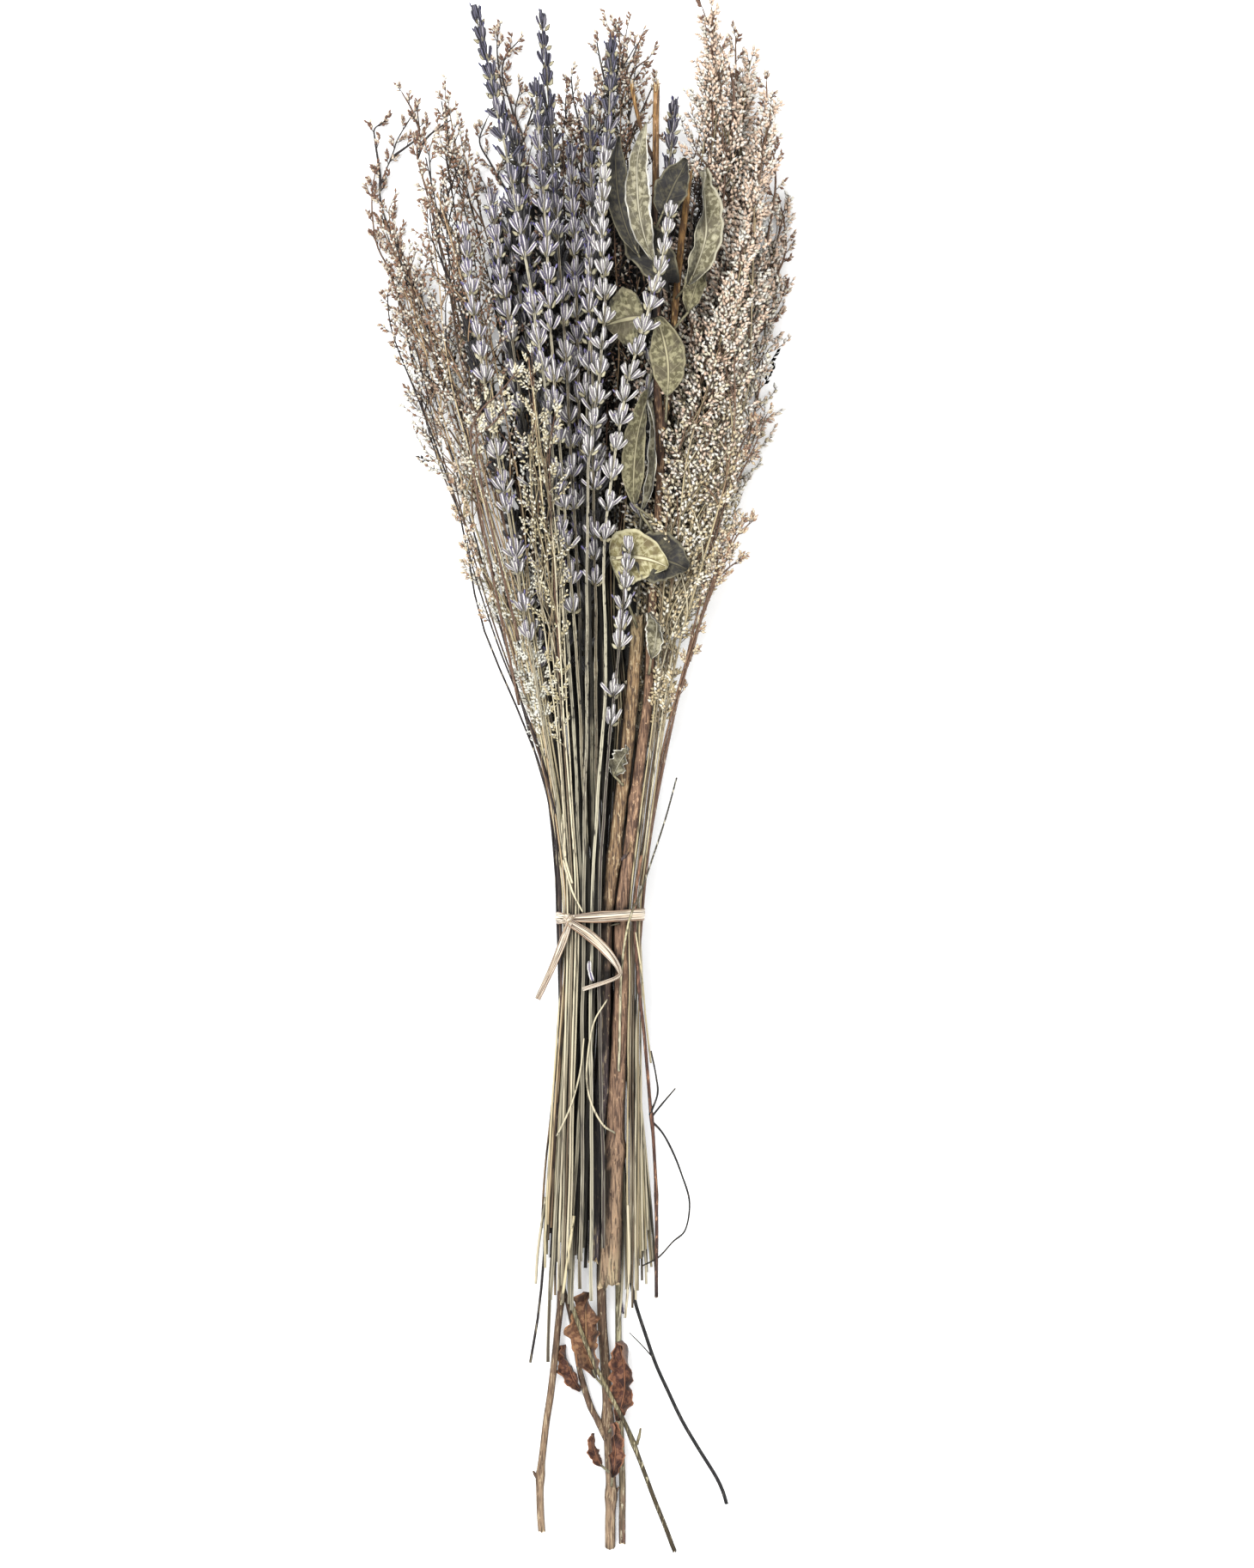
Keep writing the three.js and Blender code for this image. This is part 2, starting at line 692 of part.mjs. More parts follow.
const SHOOTS = new Map([
  [branchMain, [topShoot.solid, crownShoot]],
  [branchLower, [forkShoot, spur(branchLower, -279, [2.6, 3, 1])]],
  [twigLeft, [spur(twigLeft, -271, [-3, 4, 1])]],
  [stemDiagonal, [spur(stemDiagonal, -257, [1.5, 4, 1.5])]],
  [twigRight, [upperWire, droopingWire]],
]);

// Leaves as base, bow and tip in plan; seat says where on a branch the stalk ends.
const LEAVES = [
  { base: [28, 201], bow: [15, 222], tip: [25, 252], half: 4.6, level: 6.75,
    seat: { on: branchMain, y: 194 } },
  { base: [22, 202], bow: [12, 222], tip: [14, 247], half: 4.2, level: 6.35,
    dark: true, seat: { on: branchMain, y: 188 } },
  { base: [31, 217], bow: [35, 229], tip: [41, 238], half: 6, level: 6.25,
    dark: true, seat: { on: branchMain, y: 211 } },
  { base: [41, 192], bow: [53, 212], tip: [45, 232], half: 4.6, level: 6.72,
    seat: { on: topShoot, y: 186 } },
  { base: [41, 180], bow: [44, 192], tip: [49, 202], half: 3.8, level: 6.25,
    seat: { on: topShoot, y: 174 } },
  { base: [25, 182], bow: [18, 181], tip: [10, 178], half: 10.5, level: 6.3,
    seat: { on: branchMain, y: 178 } },
  { base: [33, 150], bow: [35, 165], tip: [30.5, 179], half: 6.2, level: 6.72,
    seat: { on: topShoot, y: 139 } },
  { base: [20.5, 107], bow: [20, 130], tip: [26.5, 150], half: 3.8, level: 6.7,
    seat: { on: branchMain, y: 100 } },
  { base: [23, 104], bow: [31, 120], tip: [27, 147], half: 1.4, level: 6.15,
    seat: { on: branchMain, y: 94 } },
  { base: [13, 90], bow: [23, 89], tip: [33, 84.5], half: 10.5, level: 6.55,
    seat: { on: branchSplit, y: 60 } },
  { base: [19, 88], bow: [30, 88], tip: [41, 83.5], half: 10, level: 6.3,
    dark: true, seat: { on: branchMain, y: 74 } },
  { base: [27, 48], bow: [31, 57], tip: [27, 66], half: 2.9, level: 6.5,
    seat: { on: branchMain, y: 42 } },
  { base: [12.5, 3], bow: [15, 9], tip: [19, 12], half: 3.2, level: 6.4,
    seat: { on: branchSplit, y: -1 } },
];

const DRY_LEAVES = [
  { base: [8, -232], bow: [1, -217], tip: [4, -204], half: 4, level: 2.4,
    seat: { on: branchLower, y: -237 } },
  { base: [14, -247], bow: [20, -238], tip: [19, -226], half: 2.6, level: 2.0,
    seat: { on: branchLower, y: -254 } },
  { base: [12, -271], bow: [14, -260], tip: [11, -250], half: 2.4, level: 2.7,
    seat: { on: branchLower, y: -275 } },
  { base: [8, -267], bow: [4, -262], tip: [5, -254], half: 1.6, level: 2.1,
    seat: { on: branchLower, y: -270 } },
];

const bunch = new THREE.Group();
for (const piece of built) {
  const shoots = SHOOTS.get(piece) ?? [];
  bunch.add(toMesh(piece.name, [strandSolid(piece), ...shoots], piece.material));
}
LEAVES.forEach((options, i) => {
  const material = options.dark ? FINISHES.darkLeaf : FINISHES.leaf;
  bunch.add(leaf(`leaf_${numbered(i)}`, options, material));
});
DRY_LEAVES.forEach((options, i) => {
  bunch.add(leaf(`dry_leaf_${numbered(i)}`, options, FINISHES.dryLeaf));
});
bunch.add(toMesh('raffia_tie', [tieBand(built), ...tieKnot(built)], FINISHES.raffia));

export default bunch;
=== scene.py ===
"""The looks of a bunch of dried flowers: lavender, sea lavender, leafy branches and a raffia tie.

The bunch lies on the floor along Y with its flower heads at +Y, and the camera looks down on it.
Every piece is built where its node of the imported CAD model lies. Lengths are in millimetres until
a mesh is made.
"""

import collections
import functools
import math

import bpy
import numpy as np
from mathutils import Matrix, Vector
from mathutils.bvhtree import BVHTree


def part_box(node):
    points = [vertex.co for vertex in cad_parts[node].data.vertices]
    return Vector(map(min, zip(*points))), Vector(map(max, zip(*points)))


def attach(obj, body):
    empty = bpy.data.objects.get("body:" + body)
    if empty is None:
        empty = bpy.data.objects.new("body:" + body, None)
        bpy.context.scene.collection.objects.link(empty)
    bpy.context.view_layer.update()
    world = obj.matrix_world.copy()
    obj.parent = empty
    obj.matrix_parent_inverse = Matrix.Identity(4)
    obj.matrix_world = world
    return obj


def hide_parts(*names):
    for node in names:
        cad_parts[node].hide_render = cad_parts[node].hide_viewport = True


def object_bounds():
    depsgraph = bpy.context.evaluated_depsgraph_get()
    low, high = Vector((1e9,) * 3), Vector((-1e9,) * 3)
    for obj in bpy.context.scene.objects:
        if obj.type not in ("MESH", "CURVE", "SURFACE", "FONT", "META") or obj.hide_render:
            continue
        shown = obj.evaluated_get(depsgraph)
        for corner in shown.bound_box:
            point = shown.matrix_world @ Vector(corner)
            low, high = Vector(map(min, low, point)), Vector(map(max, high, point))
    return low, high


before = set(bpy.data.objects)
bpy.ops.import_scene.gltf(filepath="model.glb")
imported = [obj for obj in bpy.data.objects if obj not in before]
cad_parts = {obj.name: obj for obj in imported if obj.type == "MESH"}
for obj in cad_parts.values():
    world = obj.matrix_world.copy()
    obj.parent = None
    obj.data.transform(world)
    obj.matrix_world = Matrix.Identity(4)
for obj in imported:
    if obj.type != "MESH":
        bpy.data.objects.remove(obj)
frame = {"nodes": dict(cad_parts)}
cad_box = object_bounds()

MM = 0.001
TURN = 2 * math.pi
LOWEST = 0.05  # no corner of the bunch is lower than this
TIE_Y = -52
PIGMENT = 0.8  # share of a colour, as it looks in the bright light, that the surface itself has
SKY, LAMP = 1.5, 24.0  # strength of the even sky, and watts of the lamp
FLOOR_GLOW = 0.14  # of the floor, which is lit from behind a little, as a light table is


# ------------------------------------------------------------------ small helpers

def smoothstep(value, start=0, end=1):
    """0 up to start and 1 from end on, smooth between; the other way round if end is lower."""
    value = np.clip((value - start) / (end - start), 0, 1)
    return value * value * (3 - 2 * value)


def between(low, high, share):
    return low + (high - low) * share


def seeded(name):
    """A random generator that depends only on a piece's name."""
    return np.random.default_rng(sum((i + 1) * ord(letter) for i, letter in enumerate(name)))


def unit(vectors):
    return vectors / np.maximum(np.linalg.norm(vectors, axis=-1, keepdims=True), 1e-9)


def wander(rng, places, wavelength):
    """A smooth random curve about 1 high at these places."""
    total = np.zeros(np.shape(places))
    for share, height in ((1.0, 0.6), (0.53, 0.3), (0.29, 0.15)):
        phase, stretch = rng.uniform(0, TURN), rng.uniform(0.85, 1.15)
        total += height * np.sin(TURN * np.asarray(places) / (wavelength * share * stretch) + phase)
    return total


def curve(points, count):
    """A smooth path of count points through the given ones."""
    points = np.array(points, float)
    ends = np.concatenate([[2 * points[0] - points[1]], points, [2 * points[-1] - points[-2]]])
    place = np.linspace(0, len(points) - 1, count)
    index = np.minimum(place.astype(int), len(points) - 2)
    t = (place - index)[:, None]
    a, b, c, d = (ends[index + k] for k in range(4))
    return 0.5 * (
        2 * b + (c - a) * t + (2 * a - 5 * b + 4 * c - d) * t**2 + (3 * b - 3 * c + d - a) * t**3
    )


def evened(values, window):
    """The mean of each value and its neighbours under a window, which must all be there."""
    return np.convolve(values, window / window.sum(), mode="valid")


def read(data, name, width, kind=np.float32):
    values = np.empty(len(data) * width, kind)
    data.foreach_get(name, values)
    return values.reshape(-1, width)


def write(data, name, values, kind=np.float32):
    data.foreach_set(name, np.ascontiguousarray(values, kind).ravel())


def show(name, data):
    """Puts a mesh, lamp or camera in the scene and gives its object."""
    shown = bpy.data.objects.new(name, data)
    bpy.context.scene.collection.objects.link(shown)
    return shown


# ------------------------------------------------------------------ what the CAD model says

@functools.cache
def solid_of(node):
    """A CAD node's corners in mm, each place once, and its triangles."""
    mesh = frame["nodes"][node].data
    mesh.calc_loop_triangles()
    corners = np.round(read(mesh.vertices, "co", 3).astype(float) / MM, 3)
    corners, same = np.unique(corners, axis=0, return_inverse=True)
    return corners, same.ravel()[read(mesh.loop_triangles, "vertices", 3, np.int32)]


def sections(node, level):
    """The outlines, as arrays of (x, z), in which a node's solid crosses the plane y = level."""
    corners, triangles = solid_of(node)
    above = corners[:, 1] > level
    sides = above[triangles].sum(1)
    outlines = []
    for a, b, c in triangles[(sides > 0) & (sides < 3)]:
        crossed = {(min(p, q), max(p, q)) for p, q in ((a, b), (b, c), (c, a)) if above[p] != above[q]}
        touching = [outline for outline in outlines if outline & crossed]
        outlines = [outline for outline in outlines if not outline & crossed]
        outlines.append(crossed.union(*touching))
    found = []
    for outline in outlines:
        low, high = (corners[[edge[k] for edge in outline]] for k in (0, 1))
        share = ((level - low[:, 1]) / (high[:, 1] - low[:, 1]))[:, None]
        found.append(between(low, high, share)[:, [0, 2]])
    return found


class Strand:
    """The middle line and half sizes of a CAD strand, traced down from its tip."""

    STEP = 3.0
    MARGIN = 0.3  # left out at both ends
    NEAR_TIP = 4.0  # a tip is found within this of where it is said to be
    SMOOTHING = 9  # levels over which the corners between the CAD's stations are rounded off

    def __init__(self, node, tip_x=None, stop=-math.inf):
        """tip_x says where the tip is, if the strand has side shoots. It ends at y = stop."""
        low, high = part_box(node)
        bottom, top = max(low.y / MM, stop) + self.MARGIN, high.y / MM - self.MARGIN
        rows, last = [], None
        for level in np.linspace(top, bottom, int((top - bottom) / self.STEP) + 2):
            sizes = [
                np.concatenate([(o.min(0) + o.max(0)) / 2, (o.max(0) - o.min(0)) / 2])
                for o in sections(node, level)
            ]
            if last is None and tip_x is not None:
                sizes = [size for size in sizes if abs(size[0] - tip_x) < self.NEAR_TIP]
            if not sizes:
                continue
            if last is None:
                last = max(sizes, key=lambda size: size[2])
            last = min(sizes, key=lambda size: np.hypot(*(size[:2] - last[:2])))
            rows.append([level, *last])
        self.y, x, z, self.wide, self.thick = np.array(rows[::-1]).T
        self.x, self.z = self.rounded(x), self.rounded(z)
        self.low, self.high = self.y[0], self.y[-1]

    def rounded(self, values):
        reach = np.arange(1, self.SMOOTHING // 2 + 1)
        before = values[0] - (values[1] - values[0]) * reach[::-1]
        after = values[-1] + (values[-1] - values[-2]) * reach
        return evened(np.concatenate([before, values, after]), np.hanning(self.SMOOTHING + 2)[1:-1])

    def at(self, y):
        """Points on the middle line at heights y."""
        y = np.asarray(y, float)
        return np.stack([np.interp(y, self.y, self.x), y, np.interp(y, self.y, self.z)], -1)

    def half_width(self, y):
        return np.interp(y, self.y, self.wide)

    def half_thickness(self, y):
        return np.interp(y, self.y, self.thick)

    def inside(self, y, across, upward):
        """Points in the strand's room: across and upward are -1 to 1 between its edges."""
        points = self.at(y)
        points[..., 0] += across * self.half_width(y)
        points[..., 2] += upward * self.half_thickness(y)
        return points


@functools.cache
def tree_of(node):
    """A node's surface for ray casts, or that of the whole CAD model if node is None."""
    nodes = frame["nodes"] if node is None else [node]
    corners, triangles, count = [], [], 0
    for name in nodes:
        found, faces = solid_of(name)
        corners.append(found)
        triangles.append(faces + count)
        count += len(found)
    return BVHTree.FromPolygons(
        np.concatenate(corners).tolist(), np.concatenate(triangles).tolist()
    )


def height_under(tree, x, y):
    """The height at which a surface is met from above at (x, y), or nan."""
    hit = tree.ray_cast(Vector((x, y, 200)), Vector((0, 0, -1)))[0]
    return np.nan if hit is None else hit.z


def top_of(node, plan, missing=None):
    """The height of a node's upper side over each (x, y) of a plan."""
    heights = np.array([height_under(tree_of(node), x, y) for x, y in plan])
    known = ~np.isnan(heights)
    if not known.any():
        return np.full(len(heights), missing)
    return np.interp(np.arange(len(heights)), np.flatnonzero(known), heights[known])


SKYLINE_STEP = 1.5
HEAD_LENGTH = 240  # from the tie to where the head is full
SHADE_START = (0.08, 0.9)  # depths at which the shade begins, under the tie and in the head
SHADE_REACH = (2.5, 8.0)  # and how much deeper it is full
SIDE_LIGHT = 24  # so far in from the sides of the head, less of a depth counts
OPEN_FOOT, OPEN_FROM, OPEN_FULL = 5.0, -160, -195  # it reaches deeper between the cut ends
DEEPEST_SHADE = 0.92
SIDE_SHADE, SIDE_TO = 0.25, 0.85  # painted shade: corners that face sideways or down are darker
SIDE_FROM, PLUME_SIDE_FROM = 0.15, -0.6  # which begins later in the plumes
FOOT_SHADE, FOOT_FROM = 0.86, (-110, -50)  # every corner is darker below the tie


@functools.cache
def skyline():
    """A grid's x and y, heights of the CAD model's upper side over it, and ways in from its sides."""
    low, high = (np.array(corner) / MM for corner in cad_box)
    x = np.arange(low[0] - 15, high[0] + 15, SKYLINE_STEP)
    y = np.arange(low[1] - 15, high[1] + 20, SKYLINE_STEP)
    heights = np.nan_to_num([[height_under(tree_of(None), a, b) for b in y] for a in x])
    column, filled = np.arange(len(x))[:, None], heights > 0
    left, right = filled.argmax(0), len(x) - 1 - filled[::-1].argmax(0)
    return x, y, heights, np.minimum(column - left, right - column) * SKYLINE_STEP


def shade_at(points, upward, open_growth, side_from):
    """Painted shade of a corner: 1 on top of the bunch, less the deeper it lies, where it faces sideways
    or down, and below the tie.
    """
    x, y, heights, inward = skyline()
    i = np.clip(np.round((points[:, 0] - x[0]) / SKYLINE_STEP).astype(int), 1, len(x) - 2)
    j = np.clip(np.round((points[:, 1] - y[0]) / SKYLINE_STEP).astype(int), 1, len(y) - 2)
    around = [heights[i + a, j + b] for a in (-1, 0, 1) for b in (-1, 0, 1)]
    headward = smoothstep((points[:, 1] - TIE_Y) / HEAD_LENGTH)
    footward = smoothstep(points[:, 1], OPEN_FROM, OPEN_FULL)
    in_head = smoothstep(headward * 2)
    reach = between(1, open_growth, in_head) * between(1, OPEN_FOOT, footward)
    depth = (np.mean(around, axis=0) - points[:, 2]) / reach
    depth *= between(1, smoothstep(inward[i, j] / SIDE_LIGHT), in_head)
    depth -= between(*SHADE_START, headward)
    shade = 1 - DEEPEST_SHADE * smoothstep(depth / between(*SHADE_REACH, headward))
    shade *= between(FOOT_SHADE, 1, smoothstep(points[:, 1], *FOOT_FROM))
    return shade * between(SIDE_SHADE, 1, smoothstep(upward, side_from, SIDE_TO))


# ------------------------------------------------------------------ meshes made of many skins

@functools.cache
def skin_faces(rings, sides):
    """Faces of a closed skin as (corners, map places): between its rings, and at each end."""
    def face_table(*corners):
        index, places = [], []
        for ring, side, pole in corners:
            ring, side = np.broadcast_arrays(ring, side)
            index.append(np.full(ring.shape, rings * sides + pole) if pole is not None
                         else ring * sides + np.floor(side).astype(int) % sides)
            places.append(np.stack([(ring + 1) / (rings + 1), side / sides], -1))
        return np.stack(index, -1), np.stack(places, 1)

    i, j = (grid.ravel() for grid in np.mgrid[0:rings - 1, 0:sides])
    around = np.arange(sides)
    return (
        face_table((i, j, None), (i, j + 1, None), (i + 1, j + 1, None), (i + 1, j, None)),
        face_table((-1, around + 0.5, 0), (0, around + 1, None), (0, around, None)),
        face_table((rings, around + 0.5, 1), (rings - 1, around, None), (rings - 1, around + 1, None)),
    )


class Heap:
    """Many small closed skins that become one piece.

    Every corner carries along (0 at a skin's base, 1 at its tip), rib (a pattern round the skin),
    tone (its place in a range of tints) and shade, which the materials read. Every skin has a
    patch of its own in the OFBake map.
    """

    MARGIN = 0.04  # of a patch, left free on each side

    def __init__(self, *materials):
        self.materials = list(materials)
        self.points, self.channels, self.faces, self.batches = [], [], [], []
        self.count = 0

    def add(self, rings, ends, material, tone, rib=0.0, end_material=None):
        """Adds skins round rings of shape (skins, rings, sides, 3), closed by two ends each.

        tone is one number, or one for each skin, or for each of its rings.
        """
        skins, steps, sides = rings.shape[:3]
        points = np.concatenate([rings.reshape(skins, -1, 3), ends], 1)
        size = points.shape[1]
        tone = np.asarray(tone, float)
        tone = np.broadcast_to(tone[:, None] if tone.ndim == 1 else tone, (skins, steps))
        along = np.repeat(np.arange(1, steps + 1) / (steps + 1), sides)
        rib = np.broadcast_to(rib, (steps, sides)).ravel()
        channels = np.zeros((skins, size, 3), np.float32)
        channels[..., 0] = np.concatenate([along, [0, 1]])
        channels[..., 1] = np.concatenate([rib, [0, 0]])
        channels[..., 2] = np.concatenate([np.repeat(tone, sides, axis=1), tone[:, [0, -1]]], 1)
        self.points.append(points.reshape(-1, 3))
        self.channels.append(channels.reshape(-1, 3))
        first = self.count + size * np.arange(skins)
        self.count += skins * size
        batch = len(self.batches)
        length = np.linalg.norm(np.diff(rings.mean(2), axis=1), axis=-1).sum(1).mean() + 1e-6
        girth = np.linalg.norm(np.roll(rings, 1, 2) - rings, axis=-1).sum(2).mean() + 1e-6
        self.batches.append((skins, length, girth))
        slots = [material, end_material or material, end_material or material]
        for (corners, places), slot in zip(skin_faces(steps, sides), slots):
            index = first[:, None, None] + corners
            self.faces.append((index, places, batch, self.materials.index(slot),
                               slot is material))

    def patches(self):
        """The corner and size of every skin's patch: a band for each batch, cells in each band."""
        total = sum(skins * length * girth for skins, length, girth in self.batches)
        top, found = 0.0, []
        for skins, length, girth in self.batches:
            height = skins * length * girth / total
            columns = min(skins, max(1, int(math.sqrt(total) / length)))
            rows = math.ceil(skins / columns)
            number = np.arange(skins)
            corner = np.stack([number % columns / columns, top + number // columns * height / rows], -1)
            found.append((corner, np.array([1 / columns, height / rows])))
            top += height
        return found

    def build(self, name, slot, *nodes, open_growth=1.0, side_from=SIDE_FROM):
        """Makes the piece and shows it in place of the CAD nodes. The slot is not used."""
        patches, columns = self.patches(), []
        for index, spots, batch, material, rounded in self.faces:
            corner, size = patches[batch]
            inner = self.MARGIN + (1 - 2 * self.MARGIN) * spots
            faces = index.shape[0] * index.shape[1]
            columns.append((
                index.ravel(), (corner[:, None, None] + inner[None] * size).reshape(-1, 2),
                np.full(faces, index.shape[2]), np.full(faces, material), np.full(faces, rounded),
            ))
        corners, places, totals, slots, smooth = (np.concatenate(column) for column in zip(*columns))
        points = np.concatenate(self.points)
        points[:, 2] = np.maximum(points[:, 2], LOWEST)
        mesh = bpy.data.meshes.new(name)
        mesh.vertices.add(len(points))
        mesh.loops.add(len(corners))
        mesh.polygons.add(len(totals))
        write(mesh.vertices, "co", points * MM)
        write(mesh.loops, "vertex_index", corners, np.int32)
        write(mesh.polygons, "loop_start", np.cumsum(totals) - totals, np.int32)
        write(mesh.polygons, "material_index", slots, np.int32)
        write(mesh.polygons, "use_smooth", smooth, bool)
        for channel, values in zip(("along", "rib", "tone"), np.concatenate(self.channels).T):
            write(mesh.attributes.new(channel, "FLOAT", "POINT").data, "value", values)
        write(mesh.uv_layers.new(name="OFBake", do_init=False).uv, "vector", places)
        mesh.update(calc_edges=True)
        mesh.validate()
        shade = shade_at(points, read(mesh.vertices, "normal", 3)[:, 2], open_growth, side_from)
        write(mesh.attributes.new("shade", "FLOAT", "POINT").data, "value", shade)
        for material in self.materials:
            mesh.materials.append(material)
        piece = show(name, mesh)
        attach(piece, "root")
        if nodes:
            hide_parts(*nodes)


def path_frames(paths):
    """Unit vectors ahead along paths of shape (..., points, 3), to their side and downwards."""
    ahead = unit(np.gradient(paths, axis=-2))
    side = np.cross(ahead, [0, 0, 1])
    side = unit(np.where(np.linalg.norm(side, axis=-1, keepdims=True) < 0.05, [1, 0, 0], side))
    return ahead, side, np.cross(ahead, side)


def tubes(heap, paths, radii, sides, material, tone, ridges=1.0, end_material=None):
    """Closed tubes along one path, or along paths of shape (tubes, points, 3).

    radii are those at the foot and tip, or an array with one for each point. ridges gives the
    radius of each side as a share.
    """
    paths = paths if paths.ndim == 3 else paths[None]
    if isinstance(radii, tuple):
        radii = np.linspace(*radii, paths.shape[1])
    _, side, down = path_frames(paths)
    angle = TURN * np.arange(sides) / sides
    ridges = np.broadcast_to(ridges, sides)
    reach = np.broadcast_to(radii, paths.shape[:2])[..., None] * ridges
    rings = (
        paths[:, :, None]
        + (reach * np.cos(angle))[..., None] * side[:, :, None]
        + (reach * np.sin(angle))[..., None] * down[:, :, None]
    )
    rib = (ridges - ridges.mean()) / (np.ptp(ridges) + 1e-9) * 2
    heap.add(rings, paths[:, [0, -1]], material, tone, rib, end_material)


def strip(heap, spine, half, lift, thickness, material, tone, across, side=None, end_material=None):
    """A thin closed strip along a spine: half wide on each side, raised by lift(along, across).

    It has so many corners across. It lies flat, if side doesn't say which way it is wide.
    """
    v = np.linspace(-1, 1, across)
    u = np.linspace(0, 1, len(spine))[:, None]
    side = path_frames(spine)[1] if side is None else unit(side)
    normal = unit(np.cross(side, unit(np.gradient(spine, axis=0))))
    surface = (
        spine[:, None]
        + side[:, None] * (np.broadcast_to(half, len(spine))[:, None] * v)[..., None]
        + normal[:, None] * np.broadcast_to(lift(u, v[None]), (len(spine), across))[..., None]
    )
    edge = 0.25 + 0.75 * np.sqrt(np.maximum(1 - v**2, 0))
    shell = normal[:, None] * (thickness / 2 * edge)[None, :, None]
    rings = np.concatenate([(surface - shell)[:, ::-1], surface + shell], 1)
    rib = np.concatenate([v[::-1], v])
    heap.add(rings[None], rings[[0, -1]].mean(1)[None], material, tone, rib, end_material)


class Bead:
    """A small body turned about its axis, of which many copies are placed."""

    def __init__(self, profile, sides, ribs=0.0, flat=1.0, bend=0.0):
        """profile lists (height, radius) from the foot to the tip, both with radius 0."""
        self.heights, self.radii = np.array(profile, float).T
        self.sides, self.flat, self.bend = sides, flat, bend
        self.pattern = -np.cos(4 * TURN * np.arange(sides) / sides)
        self.ridges = 1 + ribs * self.pattern

    def place(self, heap, material, foot, direction, bend_to, length, width, tone):
        """A copy on each foot, with its axis along direction and its tip bent towards bend_to."""
        axis = unit(direction)
        across = unit(bend_to - (bend_to * axis).sum(-1, keepdims=True) * axis)
        third = np.cross(axis, across)
        angle = TURN * np.arange(self.sides) / self.sides
        x = self.radii[:, None] * np.cos(angle) * self.ridges
        y = self.radii[:, None] * np.sin(angle) * self.ridges * self.flat
        width, length = (np.asarray(s, float).reshape(-1, 1, 1, 1) for s in (width, length))
        height = self.heights[:, None]
        rings = (
            foot[:, None, None]
            + width * (x[..., None] * across[:, None, None] + y[..., None] * third[:, None, None])
            + length * (height[..., None] * axis[:, None, None]
                        + (self.bend * height**2)[..., None] * across[:, None, None])
        )
        inner = rings[:, 1:-1]
        heap.add(inner, rings[:, [0, -1]].mean(2), material, tone, self.pattern)


# ------------------------------------------------------------------ materials

def colour(tint):
    """The surface's own colour for one that looks like this, 0 to 255, in the light of the scene.

    One with four numbers is the surface's own already.
    """
    if len(tint) == 4:
        return tint
    shares = [value / 255 for value in tint]
    linear = [s / 12.92 if s <= 0.04045 else ((s + 0.055) / 1.055) ** 2.4 for s in shares]
    return (*(PIGMENT * value for value in linear), 1.0)


